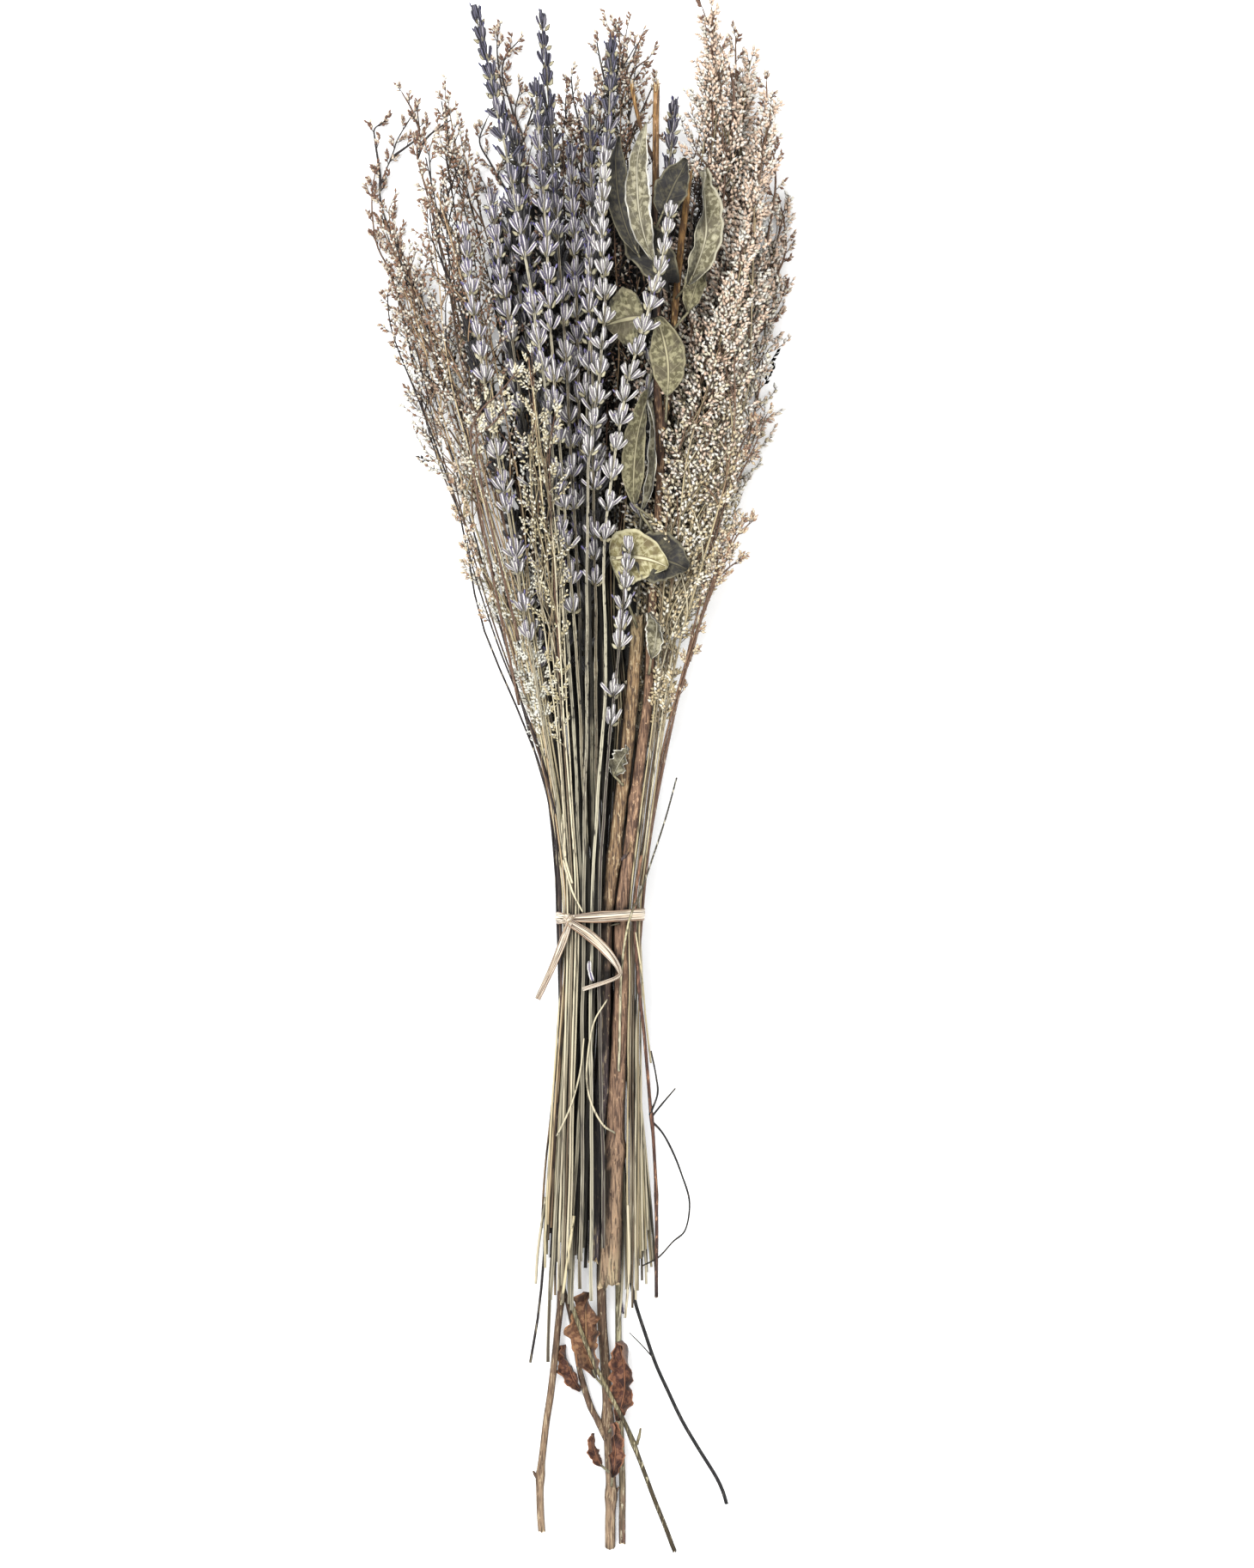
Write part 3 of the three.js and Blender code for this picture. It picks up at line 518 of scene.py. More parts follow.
class Finish:
    """A material being made. Each method adds nodes and returns the socket that comes out.

    A tint is such a socket, or a tuple as colour() takes it.
    """

    def __init__(self, name, roughness=0.8, sheen=0.0, gloss=0.3):
        self.material = bpy.data.materials.new(name)
        self.material.use_nodes = True
        self.tree = self.material.node_tree
        self.shader = self.tree.nodes["Principled BSDF"].inputs
        self.shader["Roughness"].default_value = roughness
        self.shader["Specular IOR Level"].default_value = gloss
        self.shader["Sheen Weight"].default_value = sheen

    def link(self, value, socket):
        if isinstance(value, bpy.types.NodeSocket):
            self.tree.links.new(value, socket)
        else:
            socket.default_value = colour(value) if isinstance(value, tuple) else value

    def node(self, kind, inputs, output=0, **settings):
        """Adds a node with these inputs, by name or number, and gives one of its outputs."""
        node = self.tree.nodes.new("ShaderNode" + kind)
        for name, value in settings.items():
            setattr(node, name, value)
        for name, value in inputs.items():
            self.link(value, node.inputs[name])
        return node.outputs[output]

    def channel(self, name):
        return self.node("Attribute", {}, "Fac", attribute_name=name)

    def math(self, operation, *values):
        return self.node("Math", dict(enumerate(values)), operation=operation)

    def product(self, *values):
        return self.math("MULTIPLY", *values)

    def noise(self, size, stretch=1.0, detail=3.0, place=None):
        """Noise with grains of this size, stretched so many times along the bunch.

        The size is in mm, or if a place is given, in the units of that.
        """
        scale = 1 / size if place else 1 / (size * MM)
        place = place or self.node("TexCoord", {}, "Object")
        place = self.node("Mapping", {"Vector": place, "Scale": Vector((scale, scale / stretch, scale))})
        return self.node("TexNoise", {"Vector": place, "Scale": 1.0, "Detail": detail}, "Fac")

    def uneven(self, value, grain, reach):
        """A value moved down where the grain is low and up where it is high."""
        return self.math("MULTIPLY_ADD", self.math("SUBTRACT", grain, 0.5), reach, value)

    def ramp(self, value, *stops):
        """A tint for a value from 0 to 1, from stops given as (value, tint)."""
        node = self.tree.nodes.new("ShaderNodeValToRGB")
        elements = node.color_ramp.elements
        while len(elements) < len(stops):
            elements.new(1.0)
        for element, (position, tint) in zip(elements, stops):
            element.position, element.color = position, colour(tint)
        self.link(value, node.inputs["Fac"])
        return node.outputs["Color"]

    def even_ramp(self, value, tints):
        """A ramp that gives each tint an even share of the values from 0 to 1."""
        return self.ramp(value, *(((i + 0.5) / len(tints), tint) for i, tint in enumerate(tints)))

    def step(self, value, start, end, most=1.0):
        """0 below start and most above end, smooth between; the other way round if end is lower."""
        limits = {"From Min": min(start, end), "From Max": max(start, end),
                  "To Min": most * (start > end), "To Max": most * (start < end)}
        return self.node("MapRange", {"Value": value, **limits}, interpolation_type="SMOOTHSTEP")

    def mix(self, share, first, second, mode="MIX"):
        return self.node("Mix", {"Factor": share, 6: first, 7: second}, 2, data_type="RGBA",
                         blend_type=mode)

    def over(self, tint, other, value, start, end, most=1.0):
        """A tint with another over it, none where the value is start and most where it is end."""
        return self.mix(self.step(value, start, end, most), tint, other)

    def done(self, tint, relief=None, depth=0.0, shaded=True):
        """Ends the material; relief is a height from 0 to 1, which stands for depth in mm."""
        # painted shade: the tint is multiplied by the shade channel from shade_at
        if shaded:
            tint = self.mix(1.0, tint, self.channel("shade"), "MULTIPLY")
        self.link(tint, self.shader["Base Color"])
        if relief is not None:
            bump = {"Height": relief, "Distance": depth * MM, "Strength": 1.0}
            self.link(self.node("Bump", bump), self.shader["Normal"])
        return self.material


def calyx_finish(name, feet, grooves, ribs, tips):
    """Ribbed calyx with a green foot, a dark mouth, dark grooves that are partly painted shade,
    and pale downy ribs that are partly a painted highlight.

    Each of the four lists the tints of the oldest, a middle and the youngest calyces.
    """
    make = Finish(name, roughness=0.7, sheen=0.15)
    along, tone = make.channel("along"), make.channel("tone")
    grain = make.noise(0.45)
    foot, dark_and_shade, pale_and_highlight, tip = (
        make.ramp(tone, *zip((0.1, 0.5, 0.9), tints)) for tints in (feet, grooves, ribs, tips)
    )
    # painted shade in the grooves and a painted highlight on the ribs, over the calyx's own tints
    down = make.uneven(make.channel("rib"), grain, 1.6)
    tint = make.over(dark_and_shade, pale_and_highlight, down, -0.35, 0.65)
    tint = make.over(tint, tip, along, 0.76, 0.95)
    tint = make.over(tint, foot, along, 0.2, 0.08)
    return make.done(tint, grain, 0.12)


def stem_finish(name, *tints, dark_and_shade, pale_and_highlight):
    """Thin stem: one of the tints by its tone, with streaks, painted shade in grooves and a painted
    highlight on ridges.
    """
    make = Finish(name, roughness=0.6)
    rib, streaks = make.channel("rib"), make.noise(0.45, stretch=40)
    tint = make.even_ramp(make.uneven(make.channel("tone"), make.noise(7, stretch=8), 0.3), tints)
    # painted highlight on the ridges
    tint = make.over(tint, pale_and_highlight, rib, 0.1, 0.9, 0.6)
    tint = make.over(tint, pale_and_highlight, streaks, 0.4, 0.28, 0.7)
    tint = make.over(tint, dark_and_shade, streaks, 0.56, 0.68)
    # painted shade in the grooves
    tint = make.over(tint, dark_and_shade, rib, -0.1, -0.9, 0.7)
    return make.done(tint, streaks, 0.15)


def floret_finish(name, foot, body, tips):
    """Tiny pointed floret: brown foot darkened by painted shade, coloured body, and a pale tip with one
    of several tints.
    """
    make = Finish(name, roughness=0.85, sheen=0.15)
    along, grain = make.channel("along"), make.noise(0.6)
    # the foot is brown, darkened nearly to black as painted shade where the floret sits on its twig
    lower = make.ramp(along, (0.12, foot), (0.34, body))
    tip = make.even_ramp(make.channel("tone"), tips)
    return make.done(make.over(lower, tip, make.uneven(along, grain, 0.5), 0.16, 0.4), grain, 0.1)


def bark_finish(name, stops, streak, speck):
    """Bark whose colour changes along the branch, with fibres, pale specks and dark cracks."""
    make = Finish(name, roughness=0.7)
    fibres = make.noise(0.6, stretch=11, detail=5)
    tint = make.ramp(make.uneven(make.channel("along"), make.noise(3, stretch=5), 0.14), *stops)
    tint = make.over(tint, streak, fibres, 0.5, 0.57, 0.75)
    tint = make.over(tint, speck, fibres, 0.42, 0.35, 0.7)
    tint = make.over(tint, speck, make.noise(1.1, stretch=2.5), 0.62, 0.68, 0.7)
    return make.done(tint, fibres, 0.35)


def leaf_finish(name, blade, mottle, vein, rim, back):
    """Leaf with a midrib, side veins, mottling and a rim; back is the tint of its dark blotches and of
    the painted shade beside the midrib.
    """
    make = Finish(name, roughness=0.65, sheen=0.1)
    away = make.math("ABSOLUTE", make.channel("rib"))
    grain = make.noise(1.8, detail=6)
    tint = make.over(blade, mottle, grain, 0.46, 0.54)
    tint = make.over(tint, vein, grain, 0.42, 0.32, 0.8)
    tint = make.over(tint, back, make.noise(5, detail=5), 0.5, 0.62, 0.8)
    slant = make.math("MULTIPLY_ADD", away, -1.7, make.product(make.channel("along"), 8))
    wobble = make.math("MULTIPLY_ADD", make.noise(4), 0.6, slant)
    phase = make.math("ABSOLUTE", make.math("SUBTRACT", make.math("FRACT", wobble), 0.5))
    side_vein = make.product(make.step(phase, 0.07, 0.02, 0.4), make.step(away, 0.95, 0.6))
    veins = make.math("MAXIMUM", make.step(away, 0.08, 0.03), side_vein)
    tint = make.mix(veins, tint, vein)
    # painted shade in the crease on each side of the midrib
    midrib_crease_shade = make.product(make.step(away, 0.14, 0.06), make.step(away, 0.04, 0.08))
    tint = make.mix(midrib_crease_shade, tint, back)
    tint = make.over(tint, rim, make.math("MULTIPLY_ADD", grain, 0.12, away), 0.9, 1.0)
    return make.done(tint, make.product(make.math("ADD", veins, grain), 0.6), 0.3)


def raffia_finish():
    """Split palm leaf: cream with fine peach and brown lines that run along the band."""
    make = Finish("raffia", roughness=0.5, gloss=0.4)
    across, along = make.channel("rib"), make.product(make.channel("along"), 0.35)
    place = make.node("CombineXYZ", {"X": across, "Y": along, "Z": make.channel("tone")})
    lines = make.noise(1 / 9, place=place, detail=4)
    broad = make.noise(1 / 2.2, place=place, detail=1)
    tint = make.ramp(broad, (0.3, (228, 218, 196)), (0.5, (214, 196, 170)), (0.7, (184, 150, 120)))
    tint = make.over(tint, (74, 50, 38), lines, 0.5, 0.57)
    tint = make.over(tint, (252, 246, 234), lines, 0.44, 0.36)
    # painted shade along both edges of the band
    tint = make.over(tint, (112, 82, 60), make.math("ABSOLUTE", across), 0.8, 0.98, 0.8)
    return make.done(tint, lines, 0.25, shaded=False)


def wood_finish():
    """Cut ends: pale pith with a browner rim."""
    make = Finish("cut_wood", roughness=0.85)
    grain = make.noise(0.4)
    tint = make.ramp(grain, (0.35, (160, 128, 92)), (0.6, (232, 214, 176)))
    return make.done(tint, grain, 0.2, shaded=False)


CUT = wood_finish()
CALYX = calyx_finish(
    "lavender_calyx",
    feet=((214, 210, 170), (176, 172, 138), (70, 68, 62)),
    grooves=((136, 128, 134), (104, 96, 124), (20, 19, 29)),
    ribs=((255, 253, 242), (255, 249, 242), (108, 105, 126)),
    tips=((150, 142, 160), (86, 78, 124), (22, 21, 33)),
)
COROLLA = calyx_finish(
    "withered_corolla",
    feet=((84, 76, 116), (70, 62, 108), (30, 30, 48)),
    grooves=((74, 66, 100), (52, 46, 92), (28, 28, 48)),
    ribs=((150, 142, 176), (116, 108, 168), (62, 62, 100)),
    tips=((90, 82, 116), (64, 56, 106), (32, 32, 54)),
)
LAVENDER_STEM = stem_finish(
    "lavender_stem", (74, 62, 56), (142, 128, 100), (212, 204, 176),
    (98, 86, 72), (176, 166, 138), dark_and_shade=(36, 31, 32), pale_and_highlight=(226, 220, 196),
)
BRACT = stem_finish("lavender_bract", (112, 102, 74), (146, 138, 106), (184, 178, 150),
                    dark_and_shade=(72, 60, 46), pale_and_highlight=(220, 212, 180))
SPRAY_STEM = stem_finish(
    "spray_stem", (228, 216, 184), (92, 74, 56), (206, 190, 150),
    (136, 104, 80), (108, 82, 66), dark_and_shade=(40, 32, 30), pale_and_highlight=(236, 228, 200))
DARK_SPRAY_STEM = stem_finish(
    "dark_spray_stem", (228, 214, 174), (210, 188, 148), (194, 164, 128),
    (124, 94, 72), (42, 34, 34), dark_and_shade=(34, 30, 30), pale_and_highlight=(224, 208, 172))
FLORET = floret_finish(
    "sea_lavender_floret", foot=(36, 27, 26), body=(172, 126, 96),
    tips=((212, 192, 150), (250, 240, 212), (255, 253, 244), (242, 212, 186)),
)
DARK_FLORET = floret_finish(
    "dark_sea_lavender_floret", foot=(44, 33, 30), body=(178, 138, 106),
    tips=((255, 253, 236), (255, 255, 246), (255, 244, 222), (150, 114, 90)),
)
RUSSET_FLORET = floret_finish(
    "russet_sea_lavender_floret", foot=(44, 33, 30), body=(134, 96, 76),
    tips=((232, 214, 180), (166, 126, 98), (246, 232, 208), (132, 98, 80)),
)
PALE_FLORET = floret_finish(
    "pale_sea_lavender_floret", foot=(94, 78, 58), body=(196, 180, 144),
    tips=((206, 192, 150), (238, 230, 200), (250, 246, 230), (222, 208, 172)),
)
RAFFIA = raffia_finish()


# ------------------------------------------------------------------ lavender

CALYX_BODY = Bead(
    [(0, 0), (0.06, 0.42), (0.5, 1.0), (0.84, 1.0), (1.0, 0.66), (0.9, 0)],
    sides=8, ribs=0.09, flat=0.9, bend=0.14,
)
BRACT_BODY = Bead([(0, 0), (0.1, 0.5), (0.4, 1.0), (0.75, 0.6), (1, 0)], sides=6, flat=0.3, bend=0.2)
COROLLA_BODY = Bead([(0, 0), (0.2, 0.7), (0.6, 1.0), (0.9, 0.5), (1, 0)], sides=6, ribs=0.3, flat=0.6)

STEM_RADII = (0.8, 0.5)  # at the cut end and at the tip
STEM_NODES, NODE_SWELLING, NODE_SPAN = (-180, 60, 3), 0.35, 1.6  # between these heights, so many
STEM_STATIONS = 5  # mm between the rings of a stem
# how far a stem wanders to the side, up and down, and in its thickness, and its wavelengths
STEM_SWAY, STEM_WAVE, STEM_UNEVEN = (0.35, 90), (0.3, 110), (0.05, 30)
CUT_SPREAD = (-12, 12)  # the cut end of a stem, measured up from the end of its room
STEM_RIDGES = 1 - 0.14 * np.cos(TURN * np.arange(8) / 2)  # square, as mint stems are
WHORL_STEPS = (6.4, 10.8)  # between whorls at the tip of a spike, and this far below it:
WHORL_SPAN = 110
CALYX_LENGTH = (5.0, 6.8)
CALYX_RADIUS = (0.7, 0.99)
LOW_WHORLS = (8, 12.0)  # up to so many more, so far apart, on the bare stem under a spike
LOWEST_WHORL, LOWEST_PALE_WHORL = 40, 10
SPIKE_HALF, SPIKE_LOWEST = 2.2, TIE_Y + 60  # a spike is where its room is wider, over this height
TIP_SPAN, TIP_SMALLER, TIP_NARROWER = 55, 0.18, 0.5  # fans this close under a tip, by these shares
# outer and inner calyces of a fan, and its bracts: how many, how many degrees they stand off, and
# how far up the stem they grow
CALYX_TIERS = ((5, (26, 58), (-0.9, 0.9)), (3, (2, 22), (0.4, 2.6)))
BRACT_TIER = (3, (35, 75), (-1.2, 0))
STEM_SURFACE = 0.7  # the feet lie so far from the middle of the stem
FAN_DEPTH = 0.85  # of a fan up and down, as a share of its width
STILL_THERE = 0.9  # share of the calyces that haven't fallen
OPENED = (0.35, 0.12)  # share of them with a corolla, on a sprig and on a pale one
MOUTH = 0.86  # of the length of a calyx
COROLLA_LENGTH, COROLLA_WIDTH = (1.6, 2.8), 0.6  # in mm, and as a share of the calyx
AGES, PALE_AGE, AGE_SPREAD = (0.3, 0.95), 0.12, 0.18  # tones of the calyces, old to young
YOUNG_FROM, YOUNG_AT = 150, 285  # the calyces turn from grey to dark blue between these heights


def whorl_heights(rng, start, tip):
    """Heights of the whorls from the tip down, wider apart further down."""
    heights = [tip - 4.5]
    while True:
        share = min(1.0, (tip - heights[-1]) / WHORL_SPAN)
        step = between(*WHORL_STEPS, share) * rng.uniform(0.88, 1.12)
        if heights[-1] - step < start:
            return np.array(heights)
        heights.append(heights[-1] - step)


def fan(rng, strand, heights, count, splay, lift):
    """Feet, directions and axes of count organs round the stem at each height."""
    y = np.repeat(heights, count)
    below, centre, above = strand.at(y - 2), strand.at(y), strand.at(y + 2)
    axis = unit(above - below)
    side = unit(np.cross(axis, [0, 0, 1]))
    turn = np.tile(np.arange(count) / count, len(heights)) + rng.uniform(-0.3, 0.3, len(y)) / count
    turn = TURN * (turn + np.repeat(rng.uniform(0, 1, len(heights)), count))[:, None]
    radial = np.cos(turn) * side + FAN_DEPTH * np.sin(turn) * np.cross(side, axis)
    angle = np.radians(rng.uniform(*splay, len(y)))[:, None]
    foot = centre + STEM_SURFACE * radial + rng.uniform(*lift, len(y))[:, None] * axis
    return foot, np.cos(angle) * axis + np.sin(angle) * radial, axis


def lavender_stem(heap, rng, strand, top):
    """A square stem from the cut end to the top whorl, with a few faint nodes."""
    stations = int((top - strand.low) / STEM_STATIONS)
    y = np.linspace(strand.low + rng.uniform(*CUT_SPREAD), top, stations)
    path = strand.at(y)
    path[:, 0] += STEM_SWAY[0] * wander(rng, y, STEM_SWAY[1])
    path[:, 2] += STEM_WAVE[0] * wander(rng, y, STEM_WAVE[1])
    radii = between(*STEM_RADII, (y - strand.low) / (top - strand.low))
    radii *= 1 + STEM_UNEVEN[0] * wander(rng, y, STEM_UNEVEN[1])
    for node in rng.uniform(*STEM_NODES):
        radii += NODE_SWELLING * np.exp(-((y - node) / NODE_SPAN) ** 2)
    tubes(heap, path, radii, 8, LAVENDER_STEM, rng.uniform(0, 1), STEM_RIDGES, CUT)


def calyces(heap, rng, strand, heights, tier, pale):
    """Calyces round the stem at each height, some of them with a withered corolla."""
    foot, direction, axis = fan(rng, strand, heights, *tier)
    tipness = np.repeat(smoothstep(1 - (strand.high - heights) / TIP_SPAN), tier[0])
    direction = unit(between(direction, axis, (TIP_NARROWER * tipness)[:, None]))
    kept = rng.uniform(size=len(foot)) < STILL_THERE
    foot, direction, axis, tipness = foot[kept], direction[kept], axis[kept], tipness[kept]
    count, scale = len(foot), 1 - TIP_SMALLER * tipness
    length = scale * rng.uniform(*CALYX_LENGTH, count)
    width = scale * rng.uniform(*CALYX_RADIUS, count)
    youth = smoothstep(foot[:, 1], YOUNG_FROM, YOUNG_AT)
    age = PALE_AGE if pale else between(*AGES, youth)
    tone = age + rng.uniform(-AGE_SPREAD, AGE_SPREAD, count)
    CALYX_BODY.place(heap, CALYX, foot, direction, axis, length, width, tone)
    opened = rng.uniform(size=count) < OPENED[pale]
    mouth = foot + direction * (MOUTH * length)[:, None]
    COROLLA_BODY.place(heap, COROLLA, mouth[opened], direction[opened], -axis[opened],
                       rng.uniform(*COROLLA_LENGTH, opened.sum()), COROLLA_WIDTH * width[opened],
                       tone[opened])


def lavender_sprig(node, pale):
    """A spike of whorls on a long stem: each whorl is a fan of calyces over a few bracts."""
    rng, strand = seeded(node), Strand(node)
    heap = Heap(CALYX, COROLLA, LAVENDER_STEM, BRACT, CUT)
    spike = strand.y[(strand.wide > SPIKE_HALF) & (strand.y > SPIKE_LOWEST)].min()
    heights = whorl_heights(rng, spike, strand.high)
    if not pale or spike < LOWEST_WHORL + 20:
        count, apart = LOW_WHORLS
        low = spike - apart * np.arange(1, count + 1) + rng.uniform(-4, 4, count)
        heights = np.concatenate([heights, low[low > (LOWEST_PALE_WHORL if pale else LOWEST_WHORL)]])
    lavender_stem(heap, rng, strand, strand.high - 5)
    for tier in CALYX_TIERS:
        calyces(heap, rng, strand, heights, tier, pale)
    foot, direction, axis = fan(rng, strand, heights, *BRACT_TIER)
    sizes = [rng.uniform(*limits, len(foot)) for limits in ((2.2, 3.8), (0.7, 1.1), (0, 1))]
    BRACT_BODY.place(heap, BRACT, foot, direction, axis, *sizes)
    heap.build("dried_" + node, "lavender_pale" if pale else "lavender", node)


# ------------------------------------------------------------------ sea lavender

FLORET_BODY = Bead([(0, 0), (0.5, 1.0), (1, 0)], sides=4)
MAIN_STEMS = 5
MAIN_RADII, BRANCH_RADII, TWIG_RADII = (0.46, 0.24), (0.36, 0.18), (0.22, 0.13)
SHORTER_TIP = 46  # main stems at the sides end up to this much lower in the plume
PLUME_HALF, PLUME_LOWEST = 2.6, TIE_Y + 30  # it begins where its room is wider, over this height
POINTED, CLOSING = 95, 80  # lengths over which a plume and its twigs narrow towards its tip
TIP_TWIG_SHARE = 0.38  # of the length that twigs lower down have
BRANCH_FROM, BRANCH_STEP = 8, 7.0  # the first is so far up the plume, the next so far on
BRANCH_RISE = (34, 14)  # how far a side branch climbs low in the plume, and at its top
BRANCH_REACH, BRANCH_TILT = (0.3, 1.25), (-0.95, 0.95)  # where it ends, across and up in the room
BRANCH_BOW = (1.15, 1.3)  # it leaves its stem slowly, across and up: powers of its length
TWIG_LENGTH, TWIG_ANGLES = (9, 17), (22, 58)
FLORET_STEP = 1.7
STRAW_BELOW, RUSSET_ABOVE = 30, 230
FLORET_LENGTH = (2.2, 3.2)
FLORET_RADIUS = (0.55, 0.75)
OUTER_RADII = (0.55, 0.25)  # of the outer stems, from their feet to their tips
OUTER_TONE = (0.75, 1.05)
OUTER_POINTS = 40
SHORT_TWIG_STEP = 5.6  # between the short twigs that grow straight from a stem
SHORT_TWIG_SHARE = 0.4  # of the length that other twigs have
OUTER_TWIGS_FROM = 56  # how far below the tip of an outer stem they begin
OUTER_FLORETS = 0.9  # size of the florets on them
LOW_TWIGS_FROM, LOW_TWIGS_TO = (-8, 28), 12  # heights on the main stems, and up into the plume

# outer stems that stand apart from the plumes: points (x, y) from the tip of each down
OUTER_STEMS = {
    "01": (
        ((-66, 262), (-72, 252), (-74, 246), (-78, 236), (-79, 230), (-77, 221), (-72, 209),
         (-67, 197), (-62, 182), (-57, 171), (-49, 150), (-41, 115), (-29, 70), (-16, 20)),
        ((-81, 238), (-82, 231), (-82, 222), (-80, 210), (-75, 200), (-72, 190), (-67, 180),
         (-57, 165), (-47, 135), (-38, 95), (-26, 50)),
        ((-77, 259), (-81, 256), (-81, 252), (-80, 245), (-79, 238), (-79, 232)),
        ((-63, 253), (-67, 250), (-74, 245)),
    ),
    "02": (
        ((-25, 290), (-30, 284), (-31, 276), (-28, 266), (-24, 250), (-21, 225)),
        ((-33, 293), (-33, 284), (-31, 270), (-27, 250), (-23, 226)),
        ((-24, 272), (-26, 262), (-23, 252), (-22, 236), (-18, 200)),
        ((-37, 260), (-40, 251), (-36, 243), (-32, 236), (-28, 227), (-26, 205)),
        ((-38, 234), (-36, 227), (-32, 219), (-29, 206), (-26, 180)),
        ((-17, 270), (-20, 261), (-23, 251), (-22, 240)),
        ((-29, 257), (-26, 252), (-23, 248), (-22, 236)),
    ),
    "04": (
        ((-64, 262), (-63, 252), (-64, 244), (-60, 229), (-56, 213), (-50, 190), (-40, 140)),
        ((-51, 258), (-57, 254), (-61, 250), (-64, 243)),
        ((-70, 269), (-66, 262), (-63, 254)),
    ),
    "05": (
        ((13, 295), (15, 287), (14, 278), (11, 262), (9, 240)),
        ((23, 290), (18, 278), (14, 268), (11, 255)),
        ((6, 288), (8, 278), (11, 266)),
        ((28, 272), (24, 263), (19, 252), (14, 235)),
        ((26, 282), (21, 278), (17, 270), (13, 255)),
        ((35, 259), (34, 250), (36, 240), (38, 222)),
    ),
    "07": (
        ((-4, 274), (-3, 265), (-1, 256), (0, 246), (0, 225)),
        ((6, 269), (3, 262), (1, 254), (0, 240)),
        ((-6, 266), (-6, 259), (-3, 251), (0, 241), (0, 220)),
        ((-14, 257), (-11, 250), (-7, 241), (-3, 231), (-1, 210)),
        ((9, 260), (6, 251), (2, 243), (1, 225)),
    ),
    "09": (
        ((-75, 189), (-74, 178), (-71, 168), (-67, 158), (-61, 143), (-47, 103), (-39, 63),
         (-23, 24), (-14, -1), (-10.5, -30), (-9.5, -52), (-8.5, -100), (-12, -150), (-16, -200),
         (-20, -226)),
        ((-60, 160), (-54, 140), (-42, 98), (-30, 55), (-19, 15), (-11, -16), (-9, -52), (-8, -110),
         (-12, -185)),
    ),
    "12": (
        ((-49, 118), (-45, 100), (-34, 62), (-20, 22), (-11, -10), (-8.5, -48), (-8, -100), (-11, -150)),
        ((-44, 93), (-41, 80), (-31, 50), (-17, 15), (-9.5, -16), (-8, -50), (-8, -90)),
    ),
    "14": (
        ((-25, 156), (-31, 149), (-39, 141), (-42, 128), (-36, 90), (-24, 30)),
        ((-28, 143), (-34, 137), (-40, 130), (-36, 105), (-24, 55)),
        ((-10, 140), (-12, 125), (-11, 90), (-8, 40)),
    ),
    "06": (((60, 290), (60, 281), (60, 268), (59, 250)), ((72, 273), (72, 266), (70, 256), (66, 240))),
    "08": (((74, 246), (75, 240), (75, 228), (71, 205)),),
    "10": (((47, 299), (50, 291), (54, 284), (57, 277), (59, 266), (58, 250)),),
    "03": (
        ((77, 228), (79, 221), (80, 211), (79, 205), (77, 200), (74, 192), (66, 170)),
        ((80, 195), (77, 187), (73, 181), (68, 174), (60, 155)),
    ),
    "13": (
        ((71, 141), (67, 130), (60, 116), (55, 106), (49, 82), (39, 40), (27, -20), (22, -70)),
        ((65, 100), (60, 95), (55, 84), (49, 70), (40, 45), (29, 0), (23, -50)),
        ((46, 62), (41, 45), (32, 10), (23, -40)),
        ((60, 98), (57, 91), (53, 82), (48, 68), (41, 46)),
        ((54, 93), (53, 87), (51, 79), (47, 66), (41, 45)),
        ((61, 86), (57, 83), (52, 78), (48, 69), (42, 47)),
        ((65, 137), (61, 128), (57, 118), (53, 104), (47, 78)),
    ),
}


def pointing(strand, y, point):
    """How much of its room a plume fills at y: it narrows to a share, point, at its tip."""
    return between(point, 1.0, smoothstep((strand.high - y) / POINTED))


def main_stems(rng, strand, point):
    """Thin stems side by side: for each its heights, and its place across and up in the room."""
    found = []
    raised = rng.permutation(np.linspace(-0.7, 0.95, MAIN_STEMS))
    for place, rise in zip(np.linspace(-0.95, 0.95, MAIN_STEMS), raised):
        shorter = SHORTER_TIP * abs(place) * rng.uniform(0.4, 1)
        y = np.linspace(strand.low + rng.uniform(*CUT_SPREAD), strand.high - 2 - shorter, 50)
        across = (place + 0.12 * wander(rng, y, 120)) * pointing(strand, y, point)
        found.append((y, across, rise + 0.2 * wander(rng, y, 90)))
    return found


def side_branches(rng, strand, plume_from, stems, density, point):
    """Curved branches that climb from the main stems to the edges of the room."""
    paths = []
    t = np.linspace(0, 1, 7)
    for grid, across, upward in stems:
        y = plume_from + BRANCH_FROM + rng.uniform(0, BRANCH_STEP)
        sign = rng.choice([-1, 1])
        while y < grid[-1] - 3:
            share = (y - plume_from) / (strand.high - plume_from)
            rise = min(between(*BRANCH_RISE, share) * rng.uniform(0.7, 1.2), strand.high + 2 - y)
            heights = y + rise * t
            start = np.interp(y, grid, across), np.interp(y, grid, upward)
            width = pointing(strand, heights[-1], point)
            end = sign * width * rng.uniform(*BRANCH_REACH), rng.uniform(*BRANCH_TILT)
            places = (between(a, b, t**bow) for a, b, bow in zip(start, end, BRANCH_BOW))
            paths.append(strand.inside(heights, *places))
            sign = -sign
            y += BRANCH_STEP / between(*density, share) * rng.uniform(0.7, 1.3)
    return np.array(paths)


def outer_stems(heap, rng, strand, routes, stem):
    """Stems along routes of their own at the height of the spray, with their foot first."""
    paths = []
    for route in routes:
        plan = curve(route[::-1], OUTER_POINTS)
        level = strand.at(np.minimum(plan[:, 1], strand.high))[:, 2]
        paths.append(np.column_stack([plan, level + 0.8 * wander(rng, plan[:, 1], 60)]))
    paths = np.array(paths)
    tubes(heap, paths, OUTER_RADII, 6, stem, rng.uniform(*OUTER_TONE, len(paths)))
    return paths


